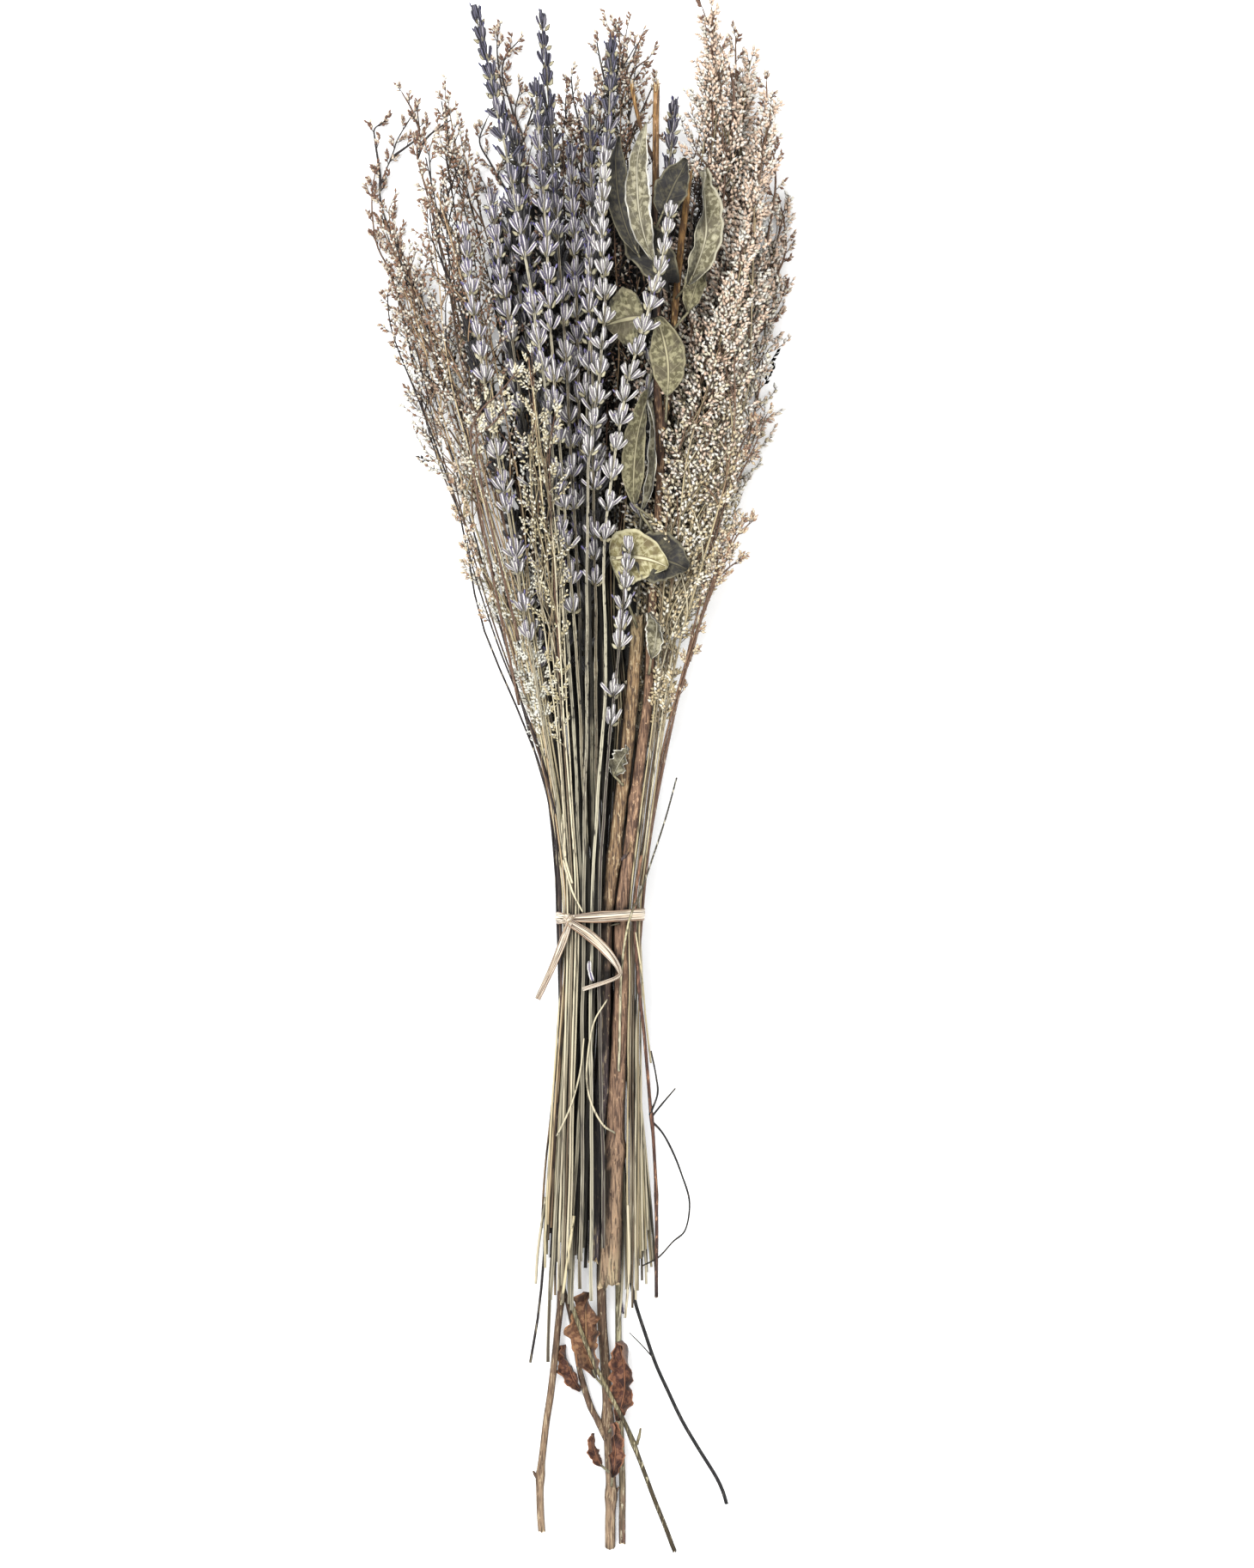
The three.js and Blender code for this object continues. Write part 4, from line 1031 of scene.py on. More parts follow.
def short_twigs(rng, paths, starts, end=math.inf):
    """Short twigs on each path from a height of its own up to the end."""
    found = []
    for path, start in zip(paths, starts):
        part = path[(path[:, 1] > start) & (path[:, 1] < end)]
        length = np.linalg.norm(np.diff(part, axis=0), axis=1).sum()
        count = max(3, int(length / SHORT_TWIG_STEP))
        found.append(comb_twigs(rng, part[None], count, np.array([SHORT_TWIG_SHARE])))
    return np.concatenate(found)


def on_paths(paths, owner, share):
    """Points at these shares of the owners' length, and the steps of the paths that they are in."""
    place = share * (paths.shape[1] - 1)
    index = np.minimum(place.astype(int), paths.shape[1] - 2)
    return between(paths[owner, index], paths[owner, index + 1], (place - index)[..., None]), index


def comb_twigs(rng, branches, per_branch, length):
    """Short twigs that leave the branches on both sides and curve upwards."""
    count = len(branches) * per_branch
    share = np.tile(np.linspace(0.3, 1.0, per_branch), len(branches))
    share = np.clip(share + rng.uniform(-0.08, 0.08, count), 0.1, 1)
    owner = np.repeat(np.arange(len(branches)), per_branch)
    foot, index = on_paths(branches, owner, share)
    steps = np.stack([branches[owner, index], branches[owner, index + 1]], 1)
    ahead, side, down = (vectors[:, 0] for vectors in path_frames(steps))
    angle = np.radians(rng.uniform(*TWIG_ANGLES, count)) * np.where(np.arange(count) % 2, 1, -1)
    angle = np.where(share > 0.93, angle * 0.3, angle)[:, None]  # the last goes on nearly straight
    tilt = rng.uniform(-0.5, 0.5, count)[:, None]
    out = unit(np.cos(angle) * ahead + np.sin(angle) * side + tilt * down)[:, None]
    t = np.linspace(0, 1, 4)[None, :, None]
    reach = (rng.uniform(*TWIG_LENGTH, count) * length[owner])[:, None, None]
    climb = unit(np.array([0, 1, 0]) + 0.15 * rng.normal(size=(count, 3)))[:, None]
    return foot[:, None] + reach * (t * out * (1 - 0.25 * t) + 0.28 * t**2 * climb)


def tint_at(rng, points):
    """The tone of stems or florets: 0 to 1 from the straw-coloured foot of a plume to its tip."""
    share = smoothstep(points[..., 1], STRAW_BELOW, RUSSET_ABOVE)
    spread = rng.uniform(-0.4, 0.4, (len(points),) + (1,) * (share.ndim - 1))
    return 0.2 + 0.65 * share + spread


def florets(heap, rng, twigs, material, size):
    """Two close ranks of florets on the upper side of every twig, and one at its end."""
    per_twig = int(np.mean(TWIG_LENGTH) / FLORET_STEP) + 1
    share = np.broadcast_to(np.linspace(0.22, 1.0, per_twig), (len(twigs), per_twig))
    rows, number = np.arange(len(twigs))[:, None], np.arange(per_twig)[None, :, None]
    foot, index = on_paths(twigs, rows, share)
    ahead, side = (vectors[rows, index] for vectors in path_frames(twigs)[:2])
    rank = np.where(number % 2, 1, -1)
    comb = rng.choice([-1, 1], len(twigs))[:, None, None]  # the side that the combs face
    out = 0.8 * ahead + (0.38 * rank + 0.35 * comb) * side + np.array([0, 0, 0.3])
    out = out + 0.2 * rng.normal(size=out.shape)
    out = np.where(number == per_twig - 1, ahead, out)
    foot, out, ahead = (v.reshape(-1, 3) for v in (foot, out, ahead))
    sizes = [size * rng.uniform(*limits, len(foot)) for limits in (FLORET_LENGTH, FLORET_RADIUS)]
    FLORET_BODY.place(heap, material, foot, out, ahead, *sizes, tint_at(rng, foot))


# density of side branches low and high in the plume, twigs on each and their length, how wide the
# tip is, how many times deeper than elsewhere the shade reaches, the size of the florets, and the
# finishes of the stems, the florets and those on outer stems
SprayLook = collections.namedtuple(
    "SprayLook", "density twigs twig point deep size stem floret outer")
SPRAY_LOOKS = {
    "open": SprayLook((0.11, 0.6), 4, 1.0, 0.42, 12.0, 0.88,
                      DARK_SPRAY_STEM, DARK_FLORET, RUSSET_FLORET),
    "dense": SprayLook((0.7, 0.68), 5, 1.0, 0.1, 2.1, 1.0, SPRAY_STEM, FLORET, RUSSET_FLORET),
    "hidden": SprayLook((0.3, 0.9), 4, 1.0, 0.8, 2.4, 0.8,
                        DARK_SPRAY_STEM, DARK_FLORET, RUSSET_FLORET),
    "pale": SprayLook((0.5, 0.4), 3, 0.8, 0.3, 3.0, 0.7, SPRAY_STEM, PALE_FLORET, PALE_FLORET),
}
SPRAYS = dict.fromkeys(("01", "04", "09", "12"), "open")
SPRAYS |= dict.fromkeys(("03", "06", "08", "10", "11", "13"), "dense")
SPRAYS |= dict.fromkeys(("02", "05", "07"), "hidden")
SPRAYS["14"] = "pale"


def sea_lavender(node, name):
    """A spray of a few main stems, side branches, comb twigs and florets."""
    look, rng, strand = SPRAY_LOOKS[name], seeded(node), Strand(node)
    heap = Heap(look.stem, look.floret, RUSSET_FLORET, CUT)
    plume_from = strand.y[(strand.wide > PLUME_HALF) & (strand.y > PLUME_LOWEST)].min()
    stems = main_stems(rng, strand, look.point)
    paths = np.array([strand.inside(*place) for place in stems])
    tubes(heap, paths, MAIN_RADII, 6, look.stem, tint_at(rng, paths), end_material=CUT)
    branches = side_branches(rng, strand, plume_from, stems, look.density, look.point)
    tubes(heap, branches, BRANCH_RADII, 4, look.stem, tint_at(rng, branches))
    closing = smoothstep((strand.high - branches[:, 0, 1]) / CLOSING)
    twigs = comb_twigs(rng, branches, look.twigs, between(TIP_TWIG_SHARE, look.twig, closing))
    if node[-2:] in OUTER_STEMS:
        outer = outer_stems(heap, rng, strand, OUTER_STEMS[node[-2:]], look.stem)
        outer_twigs = short_twigs(rng, outer, outer[..., 1].max(1) - OUTER_TWIGS_FROM)
        tubes(heap, outer_twigs, TWIG_RADII, 3, look.stem, rng.uniform(*OUTER_TONE, len(outer_twigs)))
        florets(heap, rng, outer_twigs, look.outer, OUTER_FLORETS)
    if name != "hidden":
        starts = rng.uniform(*LOW_TWIGS_FROM, MAIN_STEMS)
        twigs = np.concatenate([twigs, short_twigs(rng, paths, starts, plume_from + LOW_TWIGS_TO)])
    tubes(heap, twigs, TWIG_RADII, 3, look.stem, tint_at(rng, twigs))
    florets(heap, rng, twigs, look.floret, look.size)
    heap.build("dried_" + node, "sea_lavender_pale" if name == "pale" else "sea_lavender", node,
               open_growth=look.deep, side_from=PLUME_SIDE_FROM)


# ------------------------------------------------------------------ branches and bare stems

BARK_ROUGHNESS = 0.05  # of the radius
KNOT_SWELLING, KNOT_SPAN = 0.32, 3.2  # share of the radius, and mm along the branch
BRANCH_STATIONS = 2.5  # mm between the rings of a branch
TWIG_STATIONS = 6  # rings for each point of a twig


def bark_tube(heap, rng, path, half_wide, half_thick, material, knots, sides, ragged):
    """A branch along path with lengthwise ridges, knots at these heights and ragged ends."""
    y = path[:, 1]
    angle = TURN * np.arange(sides) / sides
    around = 1 + BARK_ROUGHNESS * rng.normal(size=sides)
    drift = BARK_ROUGHNESS * np.array([wander(rng, y, 40) for _ in range(sides)]).T
    swelling = np.zeros_like(y)
    for knot in knots:
        swelling += KNOT_SWELLING * np.exp(-((y - knot) / KNOT_SPAN) ** 2)
    ridges = (around + 0.7 * drift) * (1 + swelling[:, None])
    _, side, down = path_frames(path)
    rings = (
        path[:, None]
        + (half_wide[:, None] * ridges * np.cos(angle))[..., None] * side[:, None]
        + (half_thick[:, None] * ridges * np.sin(angle))[..., None] * down[:, None]
    )
    for end in (0, -1):
        rings[end, :, 1] += ragged * rng.normal(size=sides)
    heap.add(rings[None], rings[[0, -1]].mean(1)[None], material, rng.uniform(), ridges - 1, CUT)


def narrowest(sizes):
    """The smallest of each size and those two steps before and after it."""
    padded = np.pad(sizes, 2, mode="edge")
    return np.minimum.reduce([padded[start:start + len(sizes)] for start in (0, 2, 4)])


def branch(node, material, slot, tip_x=None, knots=(), ragged=0.4, shoots=(), sides=16,
           girth=(1.0, 1.0), twigs=()):
    """A branch in the room of its CAD node.

    shoots lists (tip x, foot y, finish) of long side shoots, girth the shares of its room that the
    branch takes at even steps from its foot to its tip, and twigs the twigs that twig() adds.
    """
    rng = seeded(node)
    heap = Heap(material, SHOOT_BARK, WIRY, CUT)
    strand = Strand(node, tip_x)
    parts = [(strand, material, knots)]
    parts += [(Strand(node, x, stop), finish, ()) for x, stop, finish in shoots]
    for part, finish, swellings in parts:
        y = np.linspace(part.low, part.high, int((part.high - part.low) / BRANCH_STATIONS) + 2)
        path = part.at(y)
        path[:, 0] += 0.25 * wander(rng, y, 70)
        core, thick = narrowest(part.half_width(y)), narrowest(part.half_thickness(y))
        size = np.minimum(core, 1.6 * thick)
        if part is strand:
            size *= np.interp(y, np.linspace(part.low, part.high, len(girth)), girth)
        bark_tube(heap, rng, path, size, np.minimum(thick, size), finish, swellings, sides, ragged)
    for finish, radii, points in twigs:
        twig(heap, rng, strand, finish, radii, points)
    heap.build("dried_" + node, slot, node)


def twig(heap, rng, strand, material, radii, points):
    """A thin twig through points (x, y, rise), each rise measured from the middle of the strand."""
    count = TWIG_STATIONS * len(points)
    path = curve(points, count)
    path[:, 2] += strand.at(path[:, 1])[:, 2]
    thickness = np.linspace(*radii, count) * (1 + 0.1 * wander(rng, np.arange(count), 11))
    tubes(heap, path, thickness, 8, material, 0.5, end_material=CUT)


MAIN_BARK = bark_finish("main_bark", (
    (0.0, (186, 168, 134)), (0.03, (172, 146, 118)), (0.14, (154, 122, 98)),
    (0.36, (142, 112, 90)), (0.48, (132, 102, 80)), (0.66, (126, 98, 74)),
    (0.8, (92, 68, 52)), (0.87, (56, 44, 40)), (0.92, (122, 90, 56)),
    (1.0, (160, 120, 72))),
    streak=(62, 44, 38), speck=(204, 168, 132))
SHOOT_BARK = bark_finish("shoot_bark", (
    (0.0, (60, 46, 38)), (0.42, (76, 56, 42)), (0.5, (124, 92, 56)),
    (0.8, (150, 112, 64)), (1.0, (176, 134, 78))), streak=(64, 42, 30),
    speck=(222, 186, 128))
# the grey-violet of the lower part, up to about a third of its length, is painted shade
SPLIT_BARK = bark_finish("split_bark", (
    (0.0, (104, 94, 96)), (0.3, (92, 80, 80)), (0.45, (112, 90, 74)),
    (0.6, (142, 114, 84)), (0.93, (150, 122, 88)), (1.0, (214, 190, 146))),
    streak=(54, 42, 40), speck=(212, 190, 152))
TAN_BARK = bark_finish("tan_bark", (
    (0.0, (172, 146, 118)), (0.12, (150, 124, 98)), (0.25, (124, 98, 78)),
    (0.6, (100, 78, 62)), (1.0, (98, 76, 62))),
    streak=(84, 66, 54), speck=(206, 186, 152))
RED_BARK = bark_finish("red_bark", (
    (0.0, (50, 38, 38)), (0.12, (84, 58, 48)), (0.4, (112, 76, 60)),
    (0.7, (104, 72, 60)), (1.0, (130, 98, 76))),
    streak=(50, 34, 32), speck=(206, 156, 118))
STRAW_STEM = bark_finish("straw_stem", (
    (0.0, (70, 58, 40)), (0.14, (84, 74, 50)), (0.17, (140, 128, 94)),
    (0.4, (154, 144, 110)), (0.7, (130, 120, 88)), (1.0, (112, 98, 74))),
    streak=(60, 52, 42), speck=(214, 204, 168))
PALE_STRAW = bark_finish("pale_straw", (
    (0.0, (112, 78, 66)), (0.07, (150, 130, 104)), (0.2, (180, 172, 138)),
    (0.6, (170, 158, 122)), (1.0, (150, 136, 100))),
    streak=(84, 74, 58), speck=(230, 222, 190))
LOOSE_STRAW = bark_finish("loose_straw", (
    (0.0, (220, 212, 178)), (0.5, (206, 196, 156)), (0.56, (90, 84, 64)),
    (1.0, (42, 42, 38))), streak=(70, 62, 50), speck=(240, 232, 204))
WIRY = bark_finish("wiry_stem", (
    (0.0, (34, 34, 36)), (0.5, (44, 42, 40)), (1.0, (70, 60, 50))),
    streak=(22, 22, 26), speck=(96, 88, 80))


WIRE_RADII = (0.45, 0.3)
SPUR_RADII = (0.75, 0.4)


def branches():
    branch("branch_main", MAIN_BARK, "bark", tip_x=29, knots=(-143, -7, 122, 60), ragged=1.6,
           shoots=((41.5, 124, SHOOT_BARK), (19.5, 238, SHOOT_BARK)),
           girth=(1.55, 1.25, 1.0, 1.0, 1.05))
    branch("branch_split", SPLIT_BARK, "bark", knots=(-29, -120), ragged=1.8, girth=(1.0, 1.15),
           twigs=((SPLIT_BARK, SPUR_RADII, ((15.5, -30, 1), (18, -27, 3), (19.5, -23, 4.5))),))
    branch("branch_lower", TAN_BARK, "bark", tip_x=14, knots=(-249, -279, -150), twigs=(
        (TAN_BARK, (1.5, 0.8), ((10, -257, 0.4), (6.5, -250, 0.5), (3, -243, 0.5), (-1, -229, 0.6),
                                 (-3, -215, 0.8), (-5.5, -204, 1.2), (-7.5, -196, 1.6))),
        (TAN_BARK, SPUR_RADII, ((11, -281, 0), (13, -278.5, 0.6), (14.5, -275.5, 1)))))
    branch("twig_right", RED_BARK, "bark", knots=(-79, -130, -160), sides=12, girth=(0.5, 0.6), twigs=(
        (WIRY, WIRE_RADII, ((27, -130, 0), (31, -125, 0.4), (36.5, -118.5, 1))),
        (WIRY, WIRE_RADII, ((27, -131, 0), (31.5, -136, -1), (35.5, -143.5, -3), (39, -152.5, -5),
                            (42, -163, -7), (40.5, -174, -9), (35.5, -179, -10), (30, -185, -11),
                            (23.5, -188.5, -11))),
        (WIRY, WIRE_RADII, ((26.5, -129, 0.4), (29.5, -121, 0.6), (29, -114, 0.6), (27, -104, 0.6)))))
    branch("twig_left", TAN_BARK, "bark", knots=(-271, -200), sides=12, girth=(1.1, 0.95), twigs=(
        (TAN_BARK, (1.1, 0.4), ((-16, -273, 0), (-17.8, -271, 0.6), (-19, -269, 0.9))),))
    branch("stem_straight", PALE_STRAW, "thin_stem", sides=12)
    branch("stem_diagonal", STRAW_STEM, "thin_stem", knots=(-257,), sides=12, girth=(0.7, 0.85), twigs=(
        (STRAW_STEM, SPUR_RADII, ((21.5, -258, 0), (22.5, -254.5, 0.8), (23, -251.5, 1.2))),))
    branch("stem_wiry", WIRY, "dark_stem", sides=10, ragged=0.1, twigs=(
        (WIRY, (0.3, 0.18), ((27.5, -224, 0), (23, -219, 0.4), (18.5, -214.5, 0.8))),))


# ------------------------------------------------------------------ leaves

# tints of the blade, its mottling, veins and rim, and its dark blotches, which also serve as painted
# shade beside the midrib
LEAF_TINTS = {
    "olive": ((148, 142, 110), (98, 92, 66), (178, 170, 136), (150, 142, 112), (88, 80, 62)),
    "grey": ((164, 158, 130), (110, 104, 80), (190, 184, 158), (196, 190, 166), (92, 84, 68)),
    "silver": ((160, 154, 128), (104, 98, 76), (190, 184, 160), (250, 246, 232), (84, 78, 64)),
    "cream": ((178, 170, 130), (132, 122, 82), (222, 214, 178), (206, 198, 160), (112, 98, 68)),
    # dark: partly painted shade, the look of leaves that lie in shade and of leaves put deep in the
    # bunch only to darken its gaps
    "dark": ((74, 70, 58), (50, 48, 44), (100, 94, 74), (122, 116, 94), (36, 34, 36)),
    "rust": ((172, 128, 94), (126, 88, 66), (186, 144, 102), (178, 128, 88), (70, 40, 34)),
    "deep_rust": ((148, 102, 76), (98, 62, 50), (170, 116, 82), (182, 126, 90), (50, 28, 27)),
}
LEAF_LOOKS = {name: leaf_finish(name + "_leaf", *tints) for name, tints in LEAF_TINTS.items()}
LEAF_GRID = (36, 15)
LEAF_THICKNESS = 0.35
DENTS, DENT_DEPTH = 12, 0.5  # how many a blade has, and how deep as a share of its crinkle
DENT_SPAN = (0.12, 0.4)  # shares of its length and half width
PETIOLE_RADII = (0.55, 0.42)
SEAT_SPAN = 1.2  # corners this close to the far end of a CAD leaf are the foot of its stalk

# Each leaf has its base, bow and tip in plan and its half width. fold (how far its halves rise),
# curl (of its edges) and crinkle are shares of the half width; full is higher where the leaf is
# widest near its tip, and twist turns it about its midrib, in radians at its tip.
Leaf = collections.namedtuple("Leaf", "base bow tip half look fold curl crinkle full twist",
                              defaults=(0.85, 0.0))
LEAVES = {
    "leaf_01": Leaf((28, 199), (17, 222), (25, 252), 4.8, "silver", 0.3, -0.25, 0.32, 0.95, 0.35),
    "leaf_02": Leaf((22, 202), (11, 222), (14, 247), 4.8, "dark", 0.3, 0.1, 0.2, 0.9, -0.4),
    "leaf_03": Leaf((31, 217), (35, 229), (41, 238), 6.4, "dark", 0.25, 0.1, 0.2, 0.8, 0.3),
    "leaf_04": Leaf((41, 190), (53, 212), (45, 233), 5.4, "grey", 0.35, 0.5, 0.3, 0.8, -0.7),
    "leaf_05": Leaf((41, 180), (44, 192), (49, 202), 4.2, "olive", 0.3, 0.3, 0.25, 0.9, 0.5),
    "leaf_06": Leaf((24, 178), (18, 178), (9.5, 175), 12.0, "olive", 0.1, -0.1, 0.14, 0.8, 0.1),
    "leaf_07": Leaf((33, 148), (35, 163), (29, 178), 6.9, "olive", 0.22, 0.1, 0.17, 1.0, -0.2),
    "leaf_08": Leaf((20.5, 107), (19, 130), (26.5, 150), 4.6, "olive", 0.55, 0.1, 0.18, 0.8, 0.5),
    "leaf_09": Leaf((23, 104), (31, 120), (27, 147), 1.9, "silver", 0.5, 0.5, 0.5, 0.9, 0.8),
    "leaf_10": Leaf((11.5, 86), (22, 89), (33.5, 83), 10.8, "cream", 0.12, 0.05, 0.1, 0.6),
    "leaf_11": Leaf((19, 88), (30, 88), (41, 82), 10.2, "dark", 0.2, 0.1, 0.2, 0.9, 0.2),
    "leaf_12": Leaf((27, 48), (31, 57), (27, 66), 3.4, "silver", 0.45, 0.3, 0.35, 0.9, 0.6),
    "leaf_13": Leaf((12.5, 3), (15, 9), (19, 13), 3.6, "silver", 0.5, 0.4, 0.6, 0.7, 0.5),
    "dry_leaf_01": Leaf((5.5, -232), (-1.5, -215), (3.5, -199), 5.8, "rust", 0.35, 0.5, 0.7, 1.0, 0.5),
    "dry_leaf_02": Leaf((14, -249), (19, -235), (15, -218), 4.8, "deep_rust", 0.4, 0.6, 0.7, 0.9, 0.6),
    "dry_leaf_03": Leaf((12, -271), (14, -260), (11, -250), 3.0, "deep_rust", 0.4, 0.6, 0.5, 0.9, -0.8),
    "dry_leaf_04": Leaf((8, -267), (4, -262), (5, -254), 2.2, "deep_rust", 0.4, 0.6, 0.5, 0.9, 0.6),
}
BUMPS = 9  # points of a path over which the bumps of the bunch are evened out
LOWEST_LOOSE = 2.5  # height of a loose leaf over the floor, at least
# leaves that have no node of their own, each with its depth under the top of the bunch; the dark ones
# are painted shade
LOOSE_LEAVES = (
    (Leaf((34, 192), (25, 205), (16, 221), 8.5, "dark", 0.2, 0.1, 0.2), 11),
    (Leaf((35, 103), (38, 118), (33, 131), 3.8, "dark", 0.2, 0.1, 0.2), 6),
    (Leaf((-0.5, -238), (-6, -230), (-7, -220), 3.0, "deep_rust", 0.4, 0.7, 0.6, 0.9, 0.9), 0),
)
# dark leaves at the back of the bunch, as painted shade in its gaps: x at the tie and in the head of the
# rays that they lie on
BACK_RAYS = ((-2, -28), (2, -16), (6, -3), (10, 10), (14, 24), (17, 36))
BACK_HEAD = 200  # height at which the rays have their second x
BACK_LEVELS = (-30, 215)  # heights that the leaves fill
BACK_LEAF = (52, 8.0)  # length and half width
# shares of that length: from one leaf to the next on its ray, how much higher every second ray
# begins, and how far the last leaf may reach past the level
BACK_STEP, BACK_OFFSET, BACK_OVER = 0.62, 0.3, 0.4
BACK_FULL, BACK_LEAST = 90, 0.45  # they have their full width so far over the tie, less lower down
BACK_RISE = (3.0, 8.0)  # over the floor
BACK_GRID = (14, 7)


def blade(heap, rng, spine, shape, across=LEAF_GRID[1]):
    """A leaf blade along a spine: folded along the midrib, with curled edges and a wavy rim."""
    steps = len(spine)
    u = np.linspace(0, 1, steps)
    outline = 0.06 + 0.94 * np.sin(math.pi * np.clip(u, 0.004, 0.996) ** shape.full) ** 0.8
    outline = outline * (1 + 0.4 * shape.crinkle * wander(rng, u, 0.31)) * shape.half
    wave_left, wave_right = wander(rng, u, 0.34)[:, None], wander(rng, u, 0.29)[:, None]
    dents = [(rng.uniform(0, 1), rng.uniform(-1, 1), rng.normal()) for _ in range(DENTS)]

    def lift(along, v):
        away = np.abs(v)
        height = shape.fold * away + shape.curl * away**3
        height = height + shape.crinkle * away**2 * np.where(v < 0, wave_left, wave_right)
        for u0, v0, size in dents:
            spot = ((along - u0) / DENT_SPAN[0]) ** 2 + ((v - v0) / DENT_SPAN[1]) ** 2
            height = height + DENT_DEPTH * shape.crinkle * size * np.exp(-spot)
        return shape.half * height

    _, side, down = path_frames(spine)
    turn = (shape.twist * u)[:, None]
    strip(heap, spine, outline, lift, LEAF_THICKNESS, LEAF_LOOKS[shape.look], rng.uniform(), across,
          side=np.cos(turn) * side - np.sin(turn) * down)


def spine_plan(shape, steps=LEAF_GRID[0]):
    """The midrib in plan, bowed from its base to its tip."""
    t = np.linspace(0, 1, steps)[:, None]
    return (1 - t) ** 2 * shape.base + 2 * t * (1 - t) * np.array(shape.bow) + t**2 * np.array(shape.tip)


def leaf(node):
    """A leaf where its CAD node lies, with its stalk down to the bark."""
    shape = LEAVES[node]
    rng = seeded(node)
    heap = Heap(LEAF_LOOKS[shape.look], BRACT)
    plan = spine_plan(shape)
    t = np.arange(len(plan))
    height = np.interp(t, t[4:-2], top_of(node, plan[4:-2])) - LEAF_THICKNESS
    spine = np.column_stack([plan, height])
    blade(heap, rng, spine, shape)
    corners = solid_of(node)[0]
    far = corners[np.argmax(np.linalg.norm(corners[:, :2] - shape.tip, axis=1))]
    seat = corners[np.linalg.norm(corners - far, axis=1) < SEAT_SPAN].mean(0)
    middle = (spine[0] + seat) / 2 + [0, 0, 0.6]
    stalk = curve([seat, middle, spine[0], spine[3]], 14)
    tubes(heap, stalk, PETIOLE_RADII, 8, BRACT, 0.6)
    slot = "dry_leaf" if node.startswith("dry") else "leaf_dark" if shape.look == "dark" else "leaf"
    heap.build("dried_" + node, slot, node)


def over_bunch(plan, rise=0.0):
    """Points over a path in plan, so far over the bunch, with its bumps evened out."""
    padded = np.pad(top_of(None, plan, LOWEST), BUMPS - 1, mode="edge")
    raised = np.array([padded[i:i + BUMPS].max() for i in range(len(plan) + BUMPS - 1)])
    return np.column_stack([plan, evened(raised, np.hanning(BUMPS + 2)[1:-1]) + rise])


def loose_leaves():
    """Dark leaves deep in the bunch as painted shade, and a ragged one between the lower twigs."""
    for i, (shape, depth) in enumerate(LOOSE_LEAVES):
        rng = seeded(f"loose_leaf_{i}")
        heap = Heap(LEAF_LOOKS[shape.look])
        spine = over_bunch(spine_plan(shape), -depth)
        spine[:, 2] = np.maximum(spine[:, 2], LOWEST_LOOSE)
        blade(heap, rng, spine, shape)
        heap.build(f"loose_leaf_{i + 1}", "leaf_dark" if shape.look == "dark" else "dry_leaf")


def back_leaves():
    """Overlapping dark leaves near the floor, seen through the gaps in the bunch as painted shade."""
    rng = seeded("back_leaves")
    heap = Heap(LEAF_LOOKS["dark"])
    length, half = BACK_LEAF
    for number, (tie_x, head_x) in enumerate(BACK_RAYS):
        foot = BACK_LEVELS[0] + BACK_OFFSET * length * (number % 2)
        while foot + length < BACK_LEVELS[1] + BACK_OVER * length:
            y = np.array([foot, foot + length / 2, foot + length])
            x = between(tie_x, head_x, (y - TIE_Y) / (BACK_HEAD - TIE_Y)) + rng.uniform(-2, 2, 3)
            share = np.clip((foot - TIE_Y) / BACK_FULL, BACK_LEAST, 1)
            shape = Leaf(*zip(x, y), half * share, "dark", 0.15, 0.1, 0.2, rng.uniform(0.8, 1.2))
            plan = spine_plan(shape, BACK_GRID[0])
            height = between(*BACK_RISE, rng.uniform()) + 1.2 * wander(rng, plan[:, 1], 50)
            blade(heap, rng, np.column_stack([plan, np.maximum(height, 1.5)]), shape, BACK_GRID[1])
            foot += BACK_STEP * length
    heap.build("back_leaves", "leaf_dark")


# ------------------------------------------------------------------ loose wisps

# thin stems that lie on the bunch: finish, radii, and points (x, y) from the foot to the tip
WISPS = (
    (LOOSE_STRAW, (0.55, 0.3), ((14.5, -112), (15, -90), (15.5, -73), (17.5, -58), (20, -49),
                                (23.5, -41), (32, -16), (37, 2))),
    (SPRAY_STEM, (0.45, 0.3), ((13, -136), (8, -132), (3.5, -123), (2, -112), (4.5, -94), (10, -84))),
    (SPRAY_STEM, (0.4, 0.3), ((-9.5, -137), (-4, -125), (-0.5, -112), (1, -99))),
    (DARK_SPRAY_STEM, (0.4, 0.3), ((27, -109), (25, -92), (23.5, -75), (21, -58))),
    (SPRAY_STEM, (0.5, 0.3), ((-7, -30), (-3.5, -42), (0.5, -50))),
    (SPRAY_STEM, (0.45, 0.3), ((-3.5, -39), (-6, -30), (-7.5, -18), (-7, -12))),
    (SPRAY_STEM, (0.6, 0.5), ((15, -158), (16, -182), (15.5, -200), (14, -214))),
    (SPRAY_STEM, (0.6, 0.5), ((18, -164), (18.5, -188), (17, -208))),
    (DARK_SPRAY_STEM, (0.7, 0.5), ((-3, -168), (-6, -190), (-8, -204))),
    (SPRAY_STEM, (0.6, 0.5), ((-14, -162), (-17, -182), (-18, -196))),
)
WISP_POINTS, WISP_RISE = 40, 0.5
FALLEN_CALYCES = (  # place, direction and tone
    ((3, -71), (0.1, -1, 0.1), 0.5), ((15.5, -202), (0, -1, 0), 0.55), ((3.5, -75), (-0.2, 1, 0.1), 0.3),
)


def lone(body, heap, material, place, rise, direction, bend_to, *sizes):
    """One bead that lies on the bunch at a place (x, y)."""
    foot = over_bunch(np.array([place] * 3), rise)[:1]
    direction, bend_to = np.array([direction], float), np.array([bend_to], float)
    body.place(heap, material, foot, direction, bend_to, *([size] for size in sizes))


